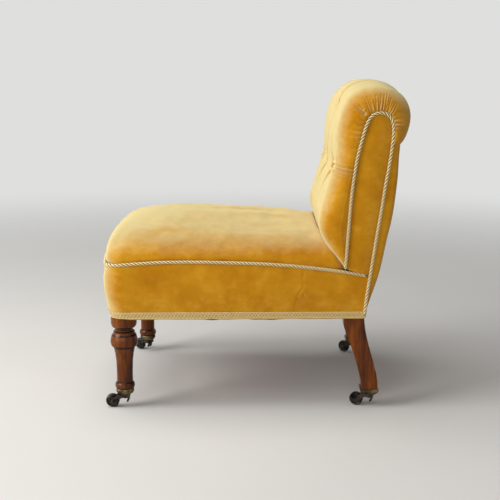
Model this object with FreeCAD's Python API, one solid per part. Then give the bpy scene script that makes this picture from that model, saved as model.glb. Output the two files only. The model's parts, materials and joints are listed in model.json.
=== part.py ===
"""Slipper chair: turned front legs on swivel castors, sprung seat, rolled and tufted back.

Units are millimetres.  +Z is up, the chair faces -Y and its own left side is +X.
The origin is on the floor under the middle of the chair.
"""
import math
import os

import FreeCAD
import Part

V = FreeCAD.Vector
LOFT_DEGREE = 3

# Fits
RUN_FIT = 0.08
SIDE_PLAY = 0.5
SEAM_PLAY = 0.5

# Plan of the chair
SIDE_X = 262.0
SIDE_Y = -290.0
SIDE_TAPER = 22.0 / 539.0
FRONT_Y = -352.0
FRONT_BOW_RADIUS = 1385.0
CORNER_RADIUS = 38.0
SEAT_BOTTOM = 215.0
FOOT_SIDE_INSET = 6.0
FOOT_FRONT_INSET = 14.0
FOOT_CORNER = 36.0
FOOT_REAR_Y = 256.5
GIMP_TOP = 230.0
GIMP_THICK = 2.0
COVER_THICK = 3.0
CORD_RADIUS = 3.75
SEAM_HALF = CORD_RADIUS + SEAM_PLAY

# Seat frame
FRONT_LEG_X = 228.0
FRONT_LEG_Y = -290.0
LEG_BLOCK = 44.0
RAIL_BOTTOM = 219.0
RAIL_TOP = 287.0
RAIL_THICK = 25.0
FRONT_RAIL_Y = -312.0
FRONT_RAIL_BOW = 18.0
RAIL_FRONT_X = 246.5
RAIL_REAR_X = 234.0
POST_OUT_X = 232.0
POST_THICK = 38.0
POST_THICK_TOP = 30.0
POST_FRONT_Y = 208.0
POST_REAR_Y = 251.0
POST_TOP = 645.0
DOWEL_RADIUS = 4.0
DOWEL_LENGTH = 40.0

# Castors
WHEEL_RADIUS = 15.5
WHEEL_WIDTH = 15.0
TRAIL = 29.0
CUP_BOTTOM = 32.0
CUP_TOP = 46.0
AXLE_RADIUS = 2.5
PIN_RADIUS = 4.0
HORN_TOP = CUP_BOTTOM - SIDE_PLAY
HORN_BOTTOM = 24.0
ARM_THICK = 3.0
REAR_LEG_X = 213.0
REAR_FOOT_Y = 270.0
# name: axis x, axis y, turn of the wheel from straight ahead
CASTORS = {
    "front_left": (FRONT_LEG_X, FRONT_LEG_Y, 0.0),
    "front_right": (-FRONT_LEG_X, FRONT_LEG_Y, -38.0),
    "rear_left": (REAR_LEG_X, REAR_FOOT_Y, -20.0),
    "rear_right": (-REAR_LEG_X, REAR_FOOT_Y, -42.0),
}

# Springs and webbing
SPRING_WIRE = 1.7
SPRING_RADIUS = 36.0
SPRING_TURNS = 5
SPRING_X = (-112.0, 0.0, 112.0)
SPRING_Y = (-205.0, -75.0, 55.0)
WEB_WIDTH = 50.0
WEB_THICK = 1.5
CANVAS_THICK = 1.5
CANVAS_TOP = 333.0

# Traced lines (Y, Z)
SEAT_CORD_LINE = [
    (-353.0, 337.5), (-309.0, 337.6), (-269.0, 340.2), (-225.0, 343.4), (-169.0, 345.0),
    (-114.0, 344.8), (-59.0, 343.5), (-3.5, 341.7), (52.0, 338.6), (108.0, 333.9),
    (152.0, 328.7), (208.0, 321.3), (262.0, 312.0), (300.0, 305.0),
]
FACING_FRONT = [
    (205.5, 290.0), (208.3, 323.1), (213.6, 403.7), (219.7, 493.3), (228.2, 561.9),
    (233.6, 590.0), (239.8, 615.0), (246.6, 640.0), (254.2, 659.0),
]
FACING_ARCH = [(264.5, 670.0), (277.0, 674.0), (290.5, 672.0), (300.6, 664.5), (306.5, 651.4)]
FACING_REAR = [
    (308.0, 633.2), (306.9, 608.7), (303.6, 579.8), (298.6, 546.1), (294.0, 518.8),
    (286.2, 461.5), (275.4, 389.6), (265.1, 316.7), (257.8, 263.6), (253.9, 232.0),
]
BACK_PROFILE = [
    (212.0, 322.0), (189.0, 347.0), (168.0, 374.0), (153.0, 398.0), (146.0, 420.0),
    (145.0, 441.0), (150.0, 465.0), (160.5, 505.0), (170.5, 548.0), (175.5, 573.0),
    (177.5, 600.0), (177.5, 625.0), (179.0, 645.0), (182.5, 665.0), (188.5, 686.0),
    (198.5, 706.0), (216.0, 724.5), (236.0, 735.5), (257.0, 740.3), (279.0, 741.0),
    (301.0, 737.5), (320.0, 729.0), (336.0, 716.0), (346.5, 699.0), (351.5, 681.0),
    (352.0, 665.0), (349.5, 648.0), (344.0, 629.0), (337.0, 615.0), (328.0, 605.0),
]
POST_SECTIONS = [
    (SEAT_BOTTOM, POST_FRONT_Y, POST_REAR_Y), (RAIL_TOP, 212.0, 256.0), (323.0, 216.0, 258.0),
    (404.0, 221.6, 269.0), (493.0, 228.0, 282.0), (562.0, 237.0, 292.0),
    (610.0, 248.0, 298.0), (POST_TOP, 255.0, 299.0),
]
REAR_LEG_SECTIONS = [
    (36.0, 254.0, 286.0), (53.0, 251.6, 288.2), (81.7, 246.4, 285.0), (110.3, 238.4, 277.4),
    (141.2, 228.6, 268.6), (169.5, 218.4, 261.0), (190.7, 209.8, 256.8), (204.7, 208.0, 255.0),
    (SEAT_BOTTOM, 208.0, 254.5),
]
OUTSIDE_BACK = [
    (231.0, 252.0, 259.0), (263.5, 254.0, 269.6), (304.5, 256.6, 281.6), (347.0, 261.0, 292.3),
    (397.0, 268.0, 301.8), (433.0, 273.0, 309.9), (485.0, 281.0, 317.3), (529.0, 287.0, 321.3),
    (577.0, 293.0, 323.6), (605.0, 297.3, 325.0),
]
OUTSIDE_TOP = 605.0
# height, inset of the sides, inset of the front, corner radius, rear edge, tilt in degrees
SEAT_SECTIONS = [
    (231.0, 4.0, 9.5, 36.0, 259.0, 0.0), (258.0, 1.5, 4.5, 37.0, 259.0, 0.0),
    (284.0, 0.0, 0.0, 38.0, 259.0, 0.0), (312.0, 0.5, 0.6, 38.0, 259.0, 0.0),
    (341.0, 2.0, 4.0, 38.0, 259.0, 0.0),
]
DOME_SECTIONS = [
    (300.0, 2.0, 4.0, 38.0, 214.0, 0.0), (341.0, 2.0, 4.0, 38.0, 214.0, 0.0),
    (352.0, 4.0, 3.6, 39.0, 214.0, 0.1), (362.5, 9.0, 4.6, 42.0, 213.5, 0.2),
    (375.0, 19.0, 9.5, 48.0, 212.0, 0.5), (387.5, 35.0, 18.0, 60.0, 209.0, 0.9),
    (398.5, 58.0, 30.0, 78.0, 205.0, 1.3), (407.5, 86.0, 48.0, 94.0, 198.0, 1.7),
    (416.0, 116.0, 71.0, 102.0, 188.0, 2.1), (424.0, 144.0, 100.0, 88.0, 172.0, 2.5),
    (431.0, 171.0, 131.0, 64.0, 140.0, 2.8), (435.0, 194.0, 165.0, 42.0, 96.0, 2.4),
    (437.5, 215.0, 205.0, 22.0, 40.0, 2.0),
]
TILT_PIVOT = -250.0
DOME_REAR_HALF = 245.0
# place across the back, end inset and drop of the crest, repeated on both sides
BACK_STATIONS = [
    (0.0, 0.0, 0.0), (75.0, 0.5, 1.0), (150.0, 3.0, 4.5), (190.0, 7.0, 7.0),
    (214.0, 14.0, 8.5), (229.0, 24.0, 9.5), (238.0, 36.0, 10.0), (242.0, 48.0, 10.0),
]
BUTTONS = [(-150.0, 550.0), (0.0, 550.0), (150.0, 550.0), (-75.0, 688.0), (75.0, 688.0)]
BUTTON_RADIUS = 8.0
BUTTON_DEPTH = 14.0
TUFT_RADIUS = 17.0

# Small helpers


def lerp_table(table, z, column=1):
    """Value of a (z, a, b...) table at height z, straight between its rows."""
    if z <= table[0][0]:
        return table[0][column]
    for low, high in zip(table, table[1:]):
        if z <= high[0]:
            t = (z - low[0]) / (high[0] - low[0])
            return low[column] + t * (high[column] - low[column])
    return table[-1][column]


def side_x(y):
    """Half width of the chair at depth y."""
    return SIDE_X - SIDE_TAPER * (y - SIDE_Y)


def spline_edge(points):
    """Smooth edge through the points."""
    curve = Part.BSplineCurve()
    curve.interpolate(points)
    return curve.toShape()


def line(a, b):
    return Part.LineSegment(a, b).toShape()


def yz(points, x=0.0):
    return [V(x, y, z) for y, z in points]


def prism_x(edges, x0, x1):
    """Solid from a closed chain of edges drawn at x = 0, drawn out from x0 to x1."""
    face = Part.Face(Part.Wire(edges))
    face.translate(V(x0, 0, 0))
    return face.extrude(V(x1 - x0, 0, 0))


def polygon_x(points, x0, x1):
    """Straight-sided prism with a (y, z) outline between x0 and x1."""
    corners = yz(points)
    return prism_x([line(a, b) for a, b in zip(corners, corners[1:] + corners[:1])], x0, x1)


def polygon_z(points, z0, z1):
    """Straight-sided prism with an (x, y) outline between z0 and z1."""
    corners = [V(x, y, z0) for x, y in points]
    wire = Part.Wire([line(a, b) for a, b in zip(corners, corners[1:] + corners[:1])])
    return Part.Face(wire).extrude(V(0, 0, z1 - z0))


def box(x0, x1, y0, y1, z0, z1):
    return Part.makeBox(x1 - x0, y1 - y0, z1 - z0, V(x0, y0, z0))


def mirrored(shape):
    """The same shape on the chair's other side."""
    return shape.mirror(V(0, 0, 0), V(1, 0, 0))


def offset_line(points, distance):
    """Shift a (y, z) line to the right of its own direction."""
    moved = []
    last = len(points) - 1
    for i, (y, z) in enumerate(points):
        ya, za = points[max(i - 1, 0)]
        yb, zb = points[min(i + 1, last)]
        length = math.hypot(yb - ya, zb - za)
        moved.append((y + distance * (zb - za) / length, z - distance * (yb - ya) / length))
    return moved


def revolved(profile, x, y):
    """Turned solid about a vertical axis from (radius, z) points."""
    points = [V(r, 0, z) for r, z in profile]
    wire = Part.Wire([line(a, b) for a, b in zip(points, points[1:] + points[:1])])
    solid = Part.Face(wire).revolve(V(0, 0, 0), V(0, 0, 1), 360)
    solid.translate(V(x, y, 0))
    return solid


def single(shape):
    """Tidy a boolean result and keep its solids."""
    shape = shape.removeSplitter()
    solids = [s for s in shape.Solids if s.Volume > 5.0]
    if len(solids) == 1:
        return solids[0]
    return Part.makeCompound(solids)


def biggest(shape):
    """The largest solid of a boolean result."""
    return max(shape.removeSplitter().Solids, key=lambda s: s.Volume)


# Plan outline


def corner_centre(side_inset, front_inset, radius):
    """Centre of the rounded front corner, tangent to the side and to the bowed front."""
    slope = math.atan(SIDE_TAPER)
    nx, ny = math.cos(slope), math.sin(slope)
    reach = nx * (SIDE_X - side_inset) + ny * SIDE_Y - radius
    bow_y = FRONT_Y + FRONT_BOW_RADIUS
    ring = FRONT_BOW_RADIUS - front_inset - radius
    b = ny * bow_y - reach
    foot_x, foot_y = -nx * b, bow_y - ny * b
    run = math.sqrt(ring * ring - b * b)
    return foot_x + ny * run, foot_y - nx * run


def outline_points(side_inset, front_inset, radius, rear_y, rear_radius):
    """Key points of the right half of the plan outline, front centre to rear centre."""
    slope = math.atan(SIDE_TAPER)
    nx, ny = math.cos(slope), math.sin(slope)
    cx, cy = corner_centre(side_inset, front_inset, radius)
    bow_y = FRONT_Y + FRONT_BOW_RADIUS
    away = math.hypot(cx, cy - bow_y)
    fx, fy = cx / away, (cy - bow_y) / away
    mid = math.hypot(fx + nx, fy + ny)
    rear_cy = rear_y - rear_radius
    rear_cx = (nx * (SIDE_X - side_inset) + ny * SIDE_Y - rear_radius - ny * rear_cy) / nx
    rmid = math.hypot(nx, 1 + ny)
    return {
        "front": (0.0, FRONT_Y + front_inset),
        "corner_a": (cx + radius * fx, cy + radius * fy),
        "corner_m": (cx + radius * (fx + nx) / mid, cy + radius * (fy + ny) / mid),
        "corner_b": (cx + radius * nx, cy + radius * ny),
        "rear_a": (rear_cx + rear_radius * nx, rear_cy + rear_radius * ny),
        "rear_m": (rear_cx + rear_radius * nx / rmid, rear_cy + rear_radius * (1 + ny) / rmid),
        "rear_b": (rear_cx, rear_y),
    }


def outline_wire(z, side_inset, front_inset, radius, rear_y, tilt=0.0, rear_radius=6.0):
    """Closed plan outline of the chair at one height."""
    k = outline_points(side_inset, front_inset, radius, rear_y, rear_radius)

    def right(name):
        return V(k[name][0], k[name][1], z)

    def left(name):
        return V(-k[name][0], k[name][1], z)

    edges = [
        Part.Arc(left("corner_a"), right("front"), right("corner_a")).toShape(),
        Part.Arc(right("corner_a"), right("corner_m"), right("corner_b")).toShape(),
        line(right("corner_b"), right("rear_a")),
        Part.Arc(right("rear_a"), right("rear_m"), right("rear_b")).toShape(),
        line(right("rear_b"), left("rear_b")),
        Part.Arc(left("rear_b"), left("rear_m"), left("rear_a")).toShape(),
        line(left("rear_a"), left("corner_b")),
        Part.Arc(left("corner_b"), left("corner_m"), left("corner_a")).toShape(),
    ]
    wire = Part.Wire(edges)
    if tilt:
        wire.rotate(V(0, TILT_PIVOT, z), V(1, 0, 0), -tilt)
    return wire


def foot_band(grow):
    """Lowest band of the upholstery, from the seat bottom to just over the gimp."""
    low = outline_wire(SEAT_BOTTOM, FOOT_SIDE_INSET - grow, FOOT_FRONT_INSET - grow,
                       FOOT_CORNER + grow, FOOT_REAR_Y + grow)
    high = outline_wire(231.0, 4.0 - grow, 9.5 - grow, 36.0 + grow, 259.0 + grow)
    return Part.makeLoft([low, high], True, True)


def border_body():
    """Outside form of the seat border, up to just over the seat cord."""
    wires = [outline_wire(z, s, f, r, y, t) for z, s, f, r, y, t in SEAT_SECTIONS]
    last = SEAT_SECTIONS[-1]
    wires.append(outline_wire(362.0, last[1], last[2], last[3], last[4]))
    return foot_band(0.0).fuse(Part.makeLoft(wires, True, False, False, LOFT_DEGREE))


def dome_body(inset):
    """Crowned form of the seat; inset pulls the whole skin inward."""
    wires = []
    for z, s, f, r, y, t in DOME_SECTIONS:
        drop = inset if z > 390.0 else 0.0
        rear = min(30.0 + 0.32 * s, 0.75 * (DOME_REAR_HALF - s))
        shrink = inset if z < 428.0 else 0.0
        wires.append(outline_wire(z - drop, s + shrink, f + shrink, max(r - inset, 20.0),
                                  y - inset, t, rear - inset))
    return Part.makeLoft(wires, True, False, False, LOFT_DEGREE)


def above_cord(shift):
    """Everything above the line of the seat cord, moved up by shift."""
    points = [V(-400, y, z + shift) for y, z in [(-420.0, 337.5)] + SEAT_CORD_LINE + [(420.0, 283.0)]]
    top_a, top_b = V(-400, 420, 900), V(-400, -420, 900)
    edges = [spline_edge(points), line(points[-1], top_a), line(top_a, top_b), line(top_b, points[0])]
    return Part.Face(Part.Wire(edges)).extrude(V(800, 0, 0))


def frame_prism(z0, z1, rear_y=320.0):
    """Prism bounded by the outer faces of the seat frame."""
    half = LEG_BLOCK / 2
    bx, by = FRONT_LEG_X - half, FRONT_LEG_Y - half
    taper = (RAIL_REAR_X - RAIL_FRONT_X) / (POST_FRONT_Y - by - LEG_BLOCK)
    rear_x = RAIL_REAR_X + taper * (rear_y - POST_FRONT_Y)
    right = [(bx, by), (bx + LEG_BLOCK, by), (bx + LEG_BLOCK, by + LEG_BLOCK),
             (RAIL_FRONT_X, by + LEG_BLOCK), (rear_x, rear_y)]
    left = [(-x, y) for x, y in reversed(right)]
    corners = [V(x, y, z0) for x, y in right + left]
    edges = [line(a, b) for a, b in zip(corners, corners[1:])]
    edges.append(Part.Arc(corners[-1], V(0, by - FRONT_RAIL_BOW, z0), corners[0]).toShape())
    return Part.Face(Part.Wire(edges)).extrude(V(0, 0, z1 - z0))


def rear_of_cord(shift):
    """Everything behind the line of the rear facing cord, moved back by shift."""
    points = [(250.0, 200.0)] + list(reversed(FACING_REAR[:-1])) + [(308.5, 660.0)]
    points = [(y + shift, z) for y, z in points]
    corners = yz(points)
    end_a, end_b = V(0, 420, 660), V(0, 420, 200)
    edges = [spline_edge(corners), line(corners[-1], end_a), line(end_a, end_b), line(end_b, corners[0])]
    return prism_x(edges, -400, 400)


# Wooden frame


def front_leg():
    """Turned front leg with its square block in the seat corner."""
    profile = [
        (0.0, 36.0), (12.0, 36.0), (18.3, 40.0), (18.4, 47.0), (21.6, 48.5), (22.6, 52.0),
        (22.2, 57.0), (20.0, 60.5), (18.4, 62.0), (18.3, 72.0), (18.4, 87.0), (19.1, 111.0),
        (21.4, 130.0), (23.8, 141.0), (24.8, 145.5), (28.4, 146.5), (30.4, 151.0),
        (31.2, 157.0), (30.4, 164.0), (28.4, 171.5), (24.5, 177.5), (24.2, 181.0), (20.6, 182.0),
        (20.0, 185.5), (21.0, 188.5), (25.2, 190.5), (27.6, 193.5), (29.3, 199.0),
        (29.3, SEAT_BOTTOM), (0.0, SEAT_BOTTOM),
    ]
    turned = revolved(profile, FRONT_LEG_X, FRONT_LEG_Y)
    half = LEG_BLOCK / 2
    block = box(FRONT_LEG_X - half, FRONT_LEG_X + half, FRONT_LEG_Y - half, FRONT_LEG_Y + half,
                SEAT_BOTTOM, RAIL_TOP)
    plan = Part.Face(outline_wire(SEAT_BOTTOM, FOOT_SIDE_INSET, FOOT_FRONT_INSET, FOOT_CORNER, FOOT_REAR_Y))
    rounded = block.common(plan.extrude(V(0, 0, RAIL_TOP - SEAT_BOTTOM)))
    return turned.fuse(rounded).removeSplitter()


def rect_wire(z, x0, x1, y0, y1):
    corners = [V(x0, y0, z), V(x1, y0, z), V(x1, y1, z), V(x0, y1, z)]
    return Part.Wire([line(a, b) for a, b in zip(corners, corners[1:] + corners[:1])])


def rear_leg():
    """Sabre rear leg running up through the seat as the post of the back."""
    inner = POST_OUT_X - POST_THICK
    foot = [rect_wire(REAR_LEG_SECTIONS[0][0] + 5.0, inner, POST_OUT_X, 251.8, 288.2)]
    foot += [rect_wire(z, inner, POST_OUT_X, a, b) for z, a, b in REAR_LEG_SECTIONS[1:]]
    leg = Part.makeLoft(foot, True, False, False, LOFT_DEGREE)
    tip_a = rect_wire(37.0, inner + 4.0, POST_OUT_X - 4.0, 255.8, 284.2)
    tip_b = rect_wire(REAR_LEG_SECTIONS[0][0] + 5.0, inner, POST_OUT_X, 251.8, 288.2)
    leg = leg.fuse(Part.makeLoft([tip_a, tip_b], True, True))
    post = []
    for z, a, b in POST_SECTIONS:
        thick = POST_THICK if z < 300.0 else POST_THICK_TOP
        post.append(rect_wire(z, POST_OUT_X - thick, POST_OUT_X, a, b))
    lower = Part.makeLoft(post[:2], True, True)
    upper = Part.makeLoft(post[1:], True, True)
    return leg.fuse([lower, upper]).removeSplitter()


def front_rail():
    """Bowed rail between the two front legs."""
    half = LEG_BLOCK / 2
    x = FRONT_LEG_X - half
    y = FRONT_LEG_Y - half
    z = RAIL_BOTTOM
    inner_y = y + RAIL_THICK
    edges = [
        Part.Arc(V(-x, y, z), V(0, y - FRONT_RAIL_BOW, z), V(x, y, z)).toShape(),
        line(V(x, y, z), V(x, inner_y, z)),
        Part.Arc(V(x, inner_y, z), V(0, inner_y - FRONT_RAIL_BOW, z), V(-x, inner_y, z)).toShape(),
        line(V(-x, inner_y, z), V(-x, y, z)),
    ]
    return Part.Face(Part.Wire(edges)).extrude(V(0, 0, RAIL_TOP - z))


def side_rail():
    """Straight side rail from the front leg to the rear post."""
    y0 = FRONT_LEG_Y + LEG_BLOCK / 2
    points = [(RAIL_FRONT_X, y0), (RAIL_FRONT_X - RAIL_THICK, y0),
              (RAIL_REAR_X - RAIL_THICK, POST_FRONT_Y), (RAIL_REAR_X, POST_FRONT_Y)]
    return polygon_z(points, RAIL_BOTTOM, RAIL_TOP)


def cross_rail(y0, y1, z0, z1, thick):
    """Rail between the two rear posts."""
    x = POST_OUT_X - thick
    return box(-x, x, y0, y1, z0, z1)


def corner_block(front_rail_solid):
    """Glued brace in the front corner, right side."""
    half = LEG_BLOCK / 2
    bx, by = FRONT_LEG_X - half, FRONT_LEG_Y + half
    sx = RAIL_FRONT_X - RAIL_THICK
    slope = (RAIL_REAR_X - RAIL_FRONT_X) / (POST_FRONT_Y - by)
    points = [(bx, by), (sx, by), (sx + slope * 75.0, by + 75.0), (bx - 70.0, by - 38.0), (bx, by - 38.0)]
    return polygon_z(points, RAIL_BOTTOM + 8.0, RAIL_TOP - 22.0).cut(front_rail_solid)


def rear_block():
    """Glued brace in the rear corner, right side."""
    px = POST_OUT_X - POST_THICK
    by = FRONT_LEG_Y + LEG_BLOCK / 2
    slope = (RAIL_REAR_X - RAIL_FRONT_X) / (POST_FRONT_Y - by)
    sx = RAIL_REAR_X - RAIL_THICK
    ry = POST_REAR_Y - RAIL_THICK
    points = [(sx, POST_FRONT_Y), (px, POST_FRONT_Y), (px, ry), (px - 62.0, ry),
              (sx - slope * 62.0, POST_FRONT_Y - 62.0)]
    return polygon_z(points, RAIL_BOTTOM + 8.0, RAIL_TOP - 22.0)


def screw(start, direction, length=42.0):
    """Countersunk wood screw."""
    shank = Part.makeCylinder(2.2, length, start, direction)
    head = Part.makeCone(4.5, 2.2, 3.0, start, direction)
    return shank.fuse(head)


def frame_screw_list():
    """Screws that hold the corner braces, right side then left."""
    z_low, z_high = RAIL_BOTTOM + 18.0, RAIL_TOP - 32.0
    screws = []
    for z in (z_low, z_high):
        screws.append(screw(V(183.0, -245.0, z), V(0.97, 0.24, 0)))
        screws.append(screw(V(158.0, -272.0, z), V(0.1, -0.995, 0), 38.0))
        screws.append(screw(V(171.0, 184.0, z), V(0.99, -0.12, 0), 46.0))
        screws.append(screw(V(152.0, 202.0, z), V(0, 1, 0), 34.0))
    return screws + [mirrored(s) for s in screws]


def dowel_list():
    """Dowels of the rail joints, right side then left."""
    half = DOWEL_LENGTH / 2
    lx = FRONT_LEG_X - LEG_BLOCK / 2
    ly = FRONT_LEG_Y + LEG_BLOCK / 2
    rx = POST_OUT_X - POST_THICK
    tx = POST_OUT_X - POST_THICK_TOP
    pins = []
    for z in (RAIL_BOTTOM + 14.0, RAIL_TOP - 14.0):
        pins.append(Part.makeCylinder(DOWEL_RADIUS, DOWEL_LENGTH, V(lx - half, -301.0, z), V(1, 0, 0)))
        pins.append(Part.makeCylinder(DOWEL_RADIUS, DOWEL_LENGTH, V(235.0, ly - half, z), V(0, 1, 0)))
        pins.append(Part.makeCylinder(DOWEL_RADIUS, DOWEL_LENGTH, V(rx - half, 239.0, z), V(1, 0, 0)))
        pins.append(Part.makeCylinder(DOWEL_RADIUS, DOWEL_LENGTH, V(220.0, POST_FRONT_Y - half, z),
                                      V(0, 1, 0)))
    for z in (335.0, 355.0):
        pins.append(Part.makeCylinder(DOWEL_RADIUS, DOWEL_LENGTH, V(tx - half, 235.0, z), V(1, 0, 0)))
    for z in (608.0, 632.0):
        pins.append(Part.makeCylinder(DOWEL_RADIUS, DOWEL_LENGTH, V(tx - half, 274.0, z), V(1, 0, 0)))
    return pins + [mirrored(p) for p in pins]


def wooden_frame():
    """Legs, rails and braces with their joints bored."""
    dowels = dowel_list()
    screws = frame_screw_list()
    bores = Part.makeCompound(dowels + screws)
    rail_front = front_rail()
    leg_l, leg_r = front_leg(), mirrored(front_leg())
    post_l, post_r = rear_leg(), mirrored(rear_leg())
    side_l, side_r = side_rail(), mirrored(side_rail())
    rail_rear = cross_rail(POST_REAR_Y - RAIL_THICK, POST_REAR_Y, RAIL_BOTTOM, RAIL_TOP, POST_THICK)
    back_low = cross_rail(220.0, 250.0, 323.0, 367.0, POST_THICK_TOP)
    crest = cross_rail(258.0, 292.0, 592.0, POST_TOP, POST_THICK_TOP)
    braces = [corner_block(rail_front), rear_block()]
    braces += [mirrored(b) for b in braces]
    braces = [single(b.cut(Part.makeCompound(screws))) for b in braces]
    solids = {
        "front_leg_left": leg_l, "front_leg_right": leg_r,
        "rear_leg_left": post_l, "rear_leg_right": post_r,
        "front_rail": rail_front, "rear_rail": rail_rear,
        "side_rail_left": side_l, "side_rail_right": side_r,
        "back_lower_rail": back_low, "crest_rail": crest,
    }
    nodes = {name: single(s.cut(bores)) for name, s in solids.items()}
    nodes["corner_blocks"] = Part.makeCompound(braces)
    nodes["frame_dowels"] = Part.makeCompound(dowels)
    nodes["frame_screws"] = Part.makeCompound(screws)
    return nodes


# Springing


def seat_webbing():
    """Six straps under the rails, their side ends folded double."""
    low, mid, top = RAIL_BOTTOM - 2 * WEB_THICK, RAIL_BOTTOM - WEB_THICK, RAIL_BOTTOM
    half = WEB_WIDTH / 2
    straps = [box(x - half, x + half, -318.0, 247.0, mid, top) for x in SPRING_X]
    fold = 20.0
    for y in SPRING_Y:
        x = RAIL_FRONT_X - 4.0 - 0.03 * (y - SPRING_Y[0])
        strap = box(-x, x, y - half, y + half, low, mid)
        ends = [box(x - fold, x, y - half, y + half, mid, top),
                box(-x, -x + fold, y - half, y + half, mid, top)]
        straps.append(strap.fuse(ends).removeSplitter())
    return Part.makeCompound(straps)


def coil_spring(x, y):
    """Seat spring standing on the webbing, its wire swept along quarter-turn arcs."""
    base = RAIL_BOTTOM + SPRING_WIRE
    rise = CANVAS_TOP - CANVAS_THICK - SPRING_WIRE - base
    quarters = 4 * SPRING_TURNS

    def on_coil(quarter):
        turn = quarter * math.pi / 2
        return V(x + SPRING_RADIUS * math.cos(turn), y + SPRING_RADIUS * math.sin(turn),
                 base + rise * quarter / quarters)

    arcs = [Part.Arc(on_coil(q), on_coil(q + 0.5), on_coil(q + 1)).toShape() for q in range(quarters)]
    ring = Part.Wire(Part.makeCircle(SPRING_WIRE, on_coil(0), arcs[0].tangentAt(arcs[0].FirstParameter)))
    return Part.Wire(arcs).makePipeShell([ring], True, False)


def canvas_form(lower):
    """Flat-topped mound of the spring canvas; lower drops the skin."""
    base = frame_wire(16.0 + lower, RAIL_TOP)
    mid = frame_wire(34.0 + lower, CANVAS_TOP - 14.0 - lower)
    top = frame_wire(62.0 + lower, CANVAS_TOP - lower)
    return Part.makeLoft([base, mid, top], True, True)


def frame_wire(inset, z):
    """Eight-sided outline inside the seat frame."""
    xf, xr = RAIL_FRONT_X - inset, RAIL_REAR_X - inset
    yf, yr = FRONT_RAIL_Y + inset, 203.0 - inset * 0.4
    cut = 30.0
    right = [(xf - cut, yf), (xf, yf + cut), (xr, yr - cut), (xr - cut, yr)]
    corners = [V(x, y, z) for x, y in right + [(-x, y) for x, y in reversed(right)]]
    return Part.Wire([line(a, b) for a, b in zip(corners, corners[1:] + corners[:1])])


def seat_inside(back_form, facing_space):
    """Canvas, edge roll, stuffing and top cover of the seat."""
    upper = above_cord(SEAM_HALF)
    lower = above_cord(-SEAM_HALF)
    canvas_out = canvas_form(0.0)
    canvas = canvas_out.cut(canvas_form(CANVAS_THICK))
    rear_cut = box(-300, 300, 204.0, 320, 200, 500)
    ring = frame_prism(RAIL_TOP, 322.0, 204.0)
    hollow = Part.makeLoft([frame_wire(40.0, RAIL_TOP), frame_wire(40.0, 330.0)], True, True)
    roll = ring.cut(hollow).cut(canvas_out).cut(lower)
    inner = dome_body(COVER_THICK)
    outer = dome_body(0.0)
    stuffing = inner.common(upper)
    plan = Part.Face(outline_wire(RAIL_TOP, 9.0, 11.0, FOOT_CORNER, 220.0))
    band = frame_prism(RAIL_TOP, 380.0, 204.0).cut(upper).common(plan.extrude(V(0, 0, 100.0)))
    stuffing = stuffing.fuse(band).cut(roll).cut(canvas_out).cut(rear_cut).cut(back_form)
    cover = outer.cut(inner).common(upper).cut(rear_cut).cut(back_form).cut(facing_space)
    return {
        "spring_canvas": single(canvas),
        "seat_edge_roll": biggest(roll),
        "seat_stuffing": biggest(stuffing),
        "seat_cover": biggest(cover),
    }


def seat_border():
    """Padded border between the frame and the seat cord."""
    body = border_body().cut(frame_prism(200.0, 380.0, 330.0))
    body = body.cut(above_cord(-SEAM_HALF)).cut(rear_of_cord(-SEAM_HALF))
    return single(body)


# Back


def back_wire(x, inset, drop):
    """Section of the padded back at x."""
    points = offset_line(BACK_PROFILE, inset)
    shifted = []
    for y, z in points:
        share = min(max((z - 480.0) / 220.0, 0.0), 1.0)
        shifted.append(V(x, y, z - drop * share))
    tail_a = V(x, 290.0, shifted[-1].z)
    tail_b = V(x, 250.0, shifted[0].z)
    return Part.Wire([spline_edge(shifted), line(shifted[-1], tail_a), line(tail_a, tail_b),
                      line(tail_b, shifted[0])])


def back_form(skin):
    """Full padded form of the back, before the frame is taken out of it."""
    stations = [(-x, i, d) for x, i, d in reversed(BACK_STATIONS[1:])] + BACK_STATIONS
    wires = []
    for x, inset, drop in stations:
        side = math.copysign(max(abs(x) - skin, 0.0), x) if abs(x) > 200.0 else x
        wires.append(back_wire(side, inset + skin, drop))
    return Part.makeLoft(wires, True, False, False, LOFT_DEGREE)


def facing_space():
    """Room taken by the facing and its cord, right side."""
    path = offset_line(FACING_FRONT + FACING_ARCH + FACING_REAR[:-2], -SEAM_HALF)
    corners = yz(path)
    edges = [spline_edge(corners), line(corners[-1], corners[0])]
    return prism_x(edges, POST_OUT_X, 320.0)


def back_core():
    """Room taken by the frame and springing of the back."""
    front = [(a - CANVAS_THICK, z) for z, a, b in POST_SECTIONS[1:]]
    points = [(front[0][0] - 4.0, 240.0)] + front
    points += [(299.0, POST_TOP), (299.0, OUTSIDE_TOP), (420.0, OUTSIDE_TOP), (420.0, 240.0)]
    return polygon_x(points, -320.0, 320.0)


def surface_y(x, z):
    """Depth of the face of the back at a button."""
    ys = [(pz, py) for py, pz in BACK_PROFILE[5:17]]
    base = lerp_table(ys, z)
    inset = lerp_table([(s[0], s[1]) for s in BACK_STATIONS], abs(x))
    return base + inset


def tuft_cone(x, z, grow):
    """Hollow drawn in by one button."""
    y = surface_y(x, z)
    reach = 14.0
    wide = TUFT_RADIUS * (BUTTON_DEPTH + reach) / BUTTON_DEPTH
    cone = Part.makeCone(wide + grow, BUTTON_RADIUS + 1.0 + grow, BUTTON_DEPTH + reach,
                         V(x, y - reach, z), V(0, 1, 0))
    if grow:
        cone = cone.fuse(Part.makeCylinder(BUTTON_RADIUS + 1.0 + grow, grow,
                                           V(x, y + BUTTON_DEPTH, z), V(0, 1, 0)))
    return cone


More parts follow.
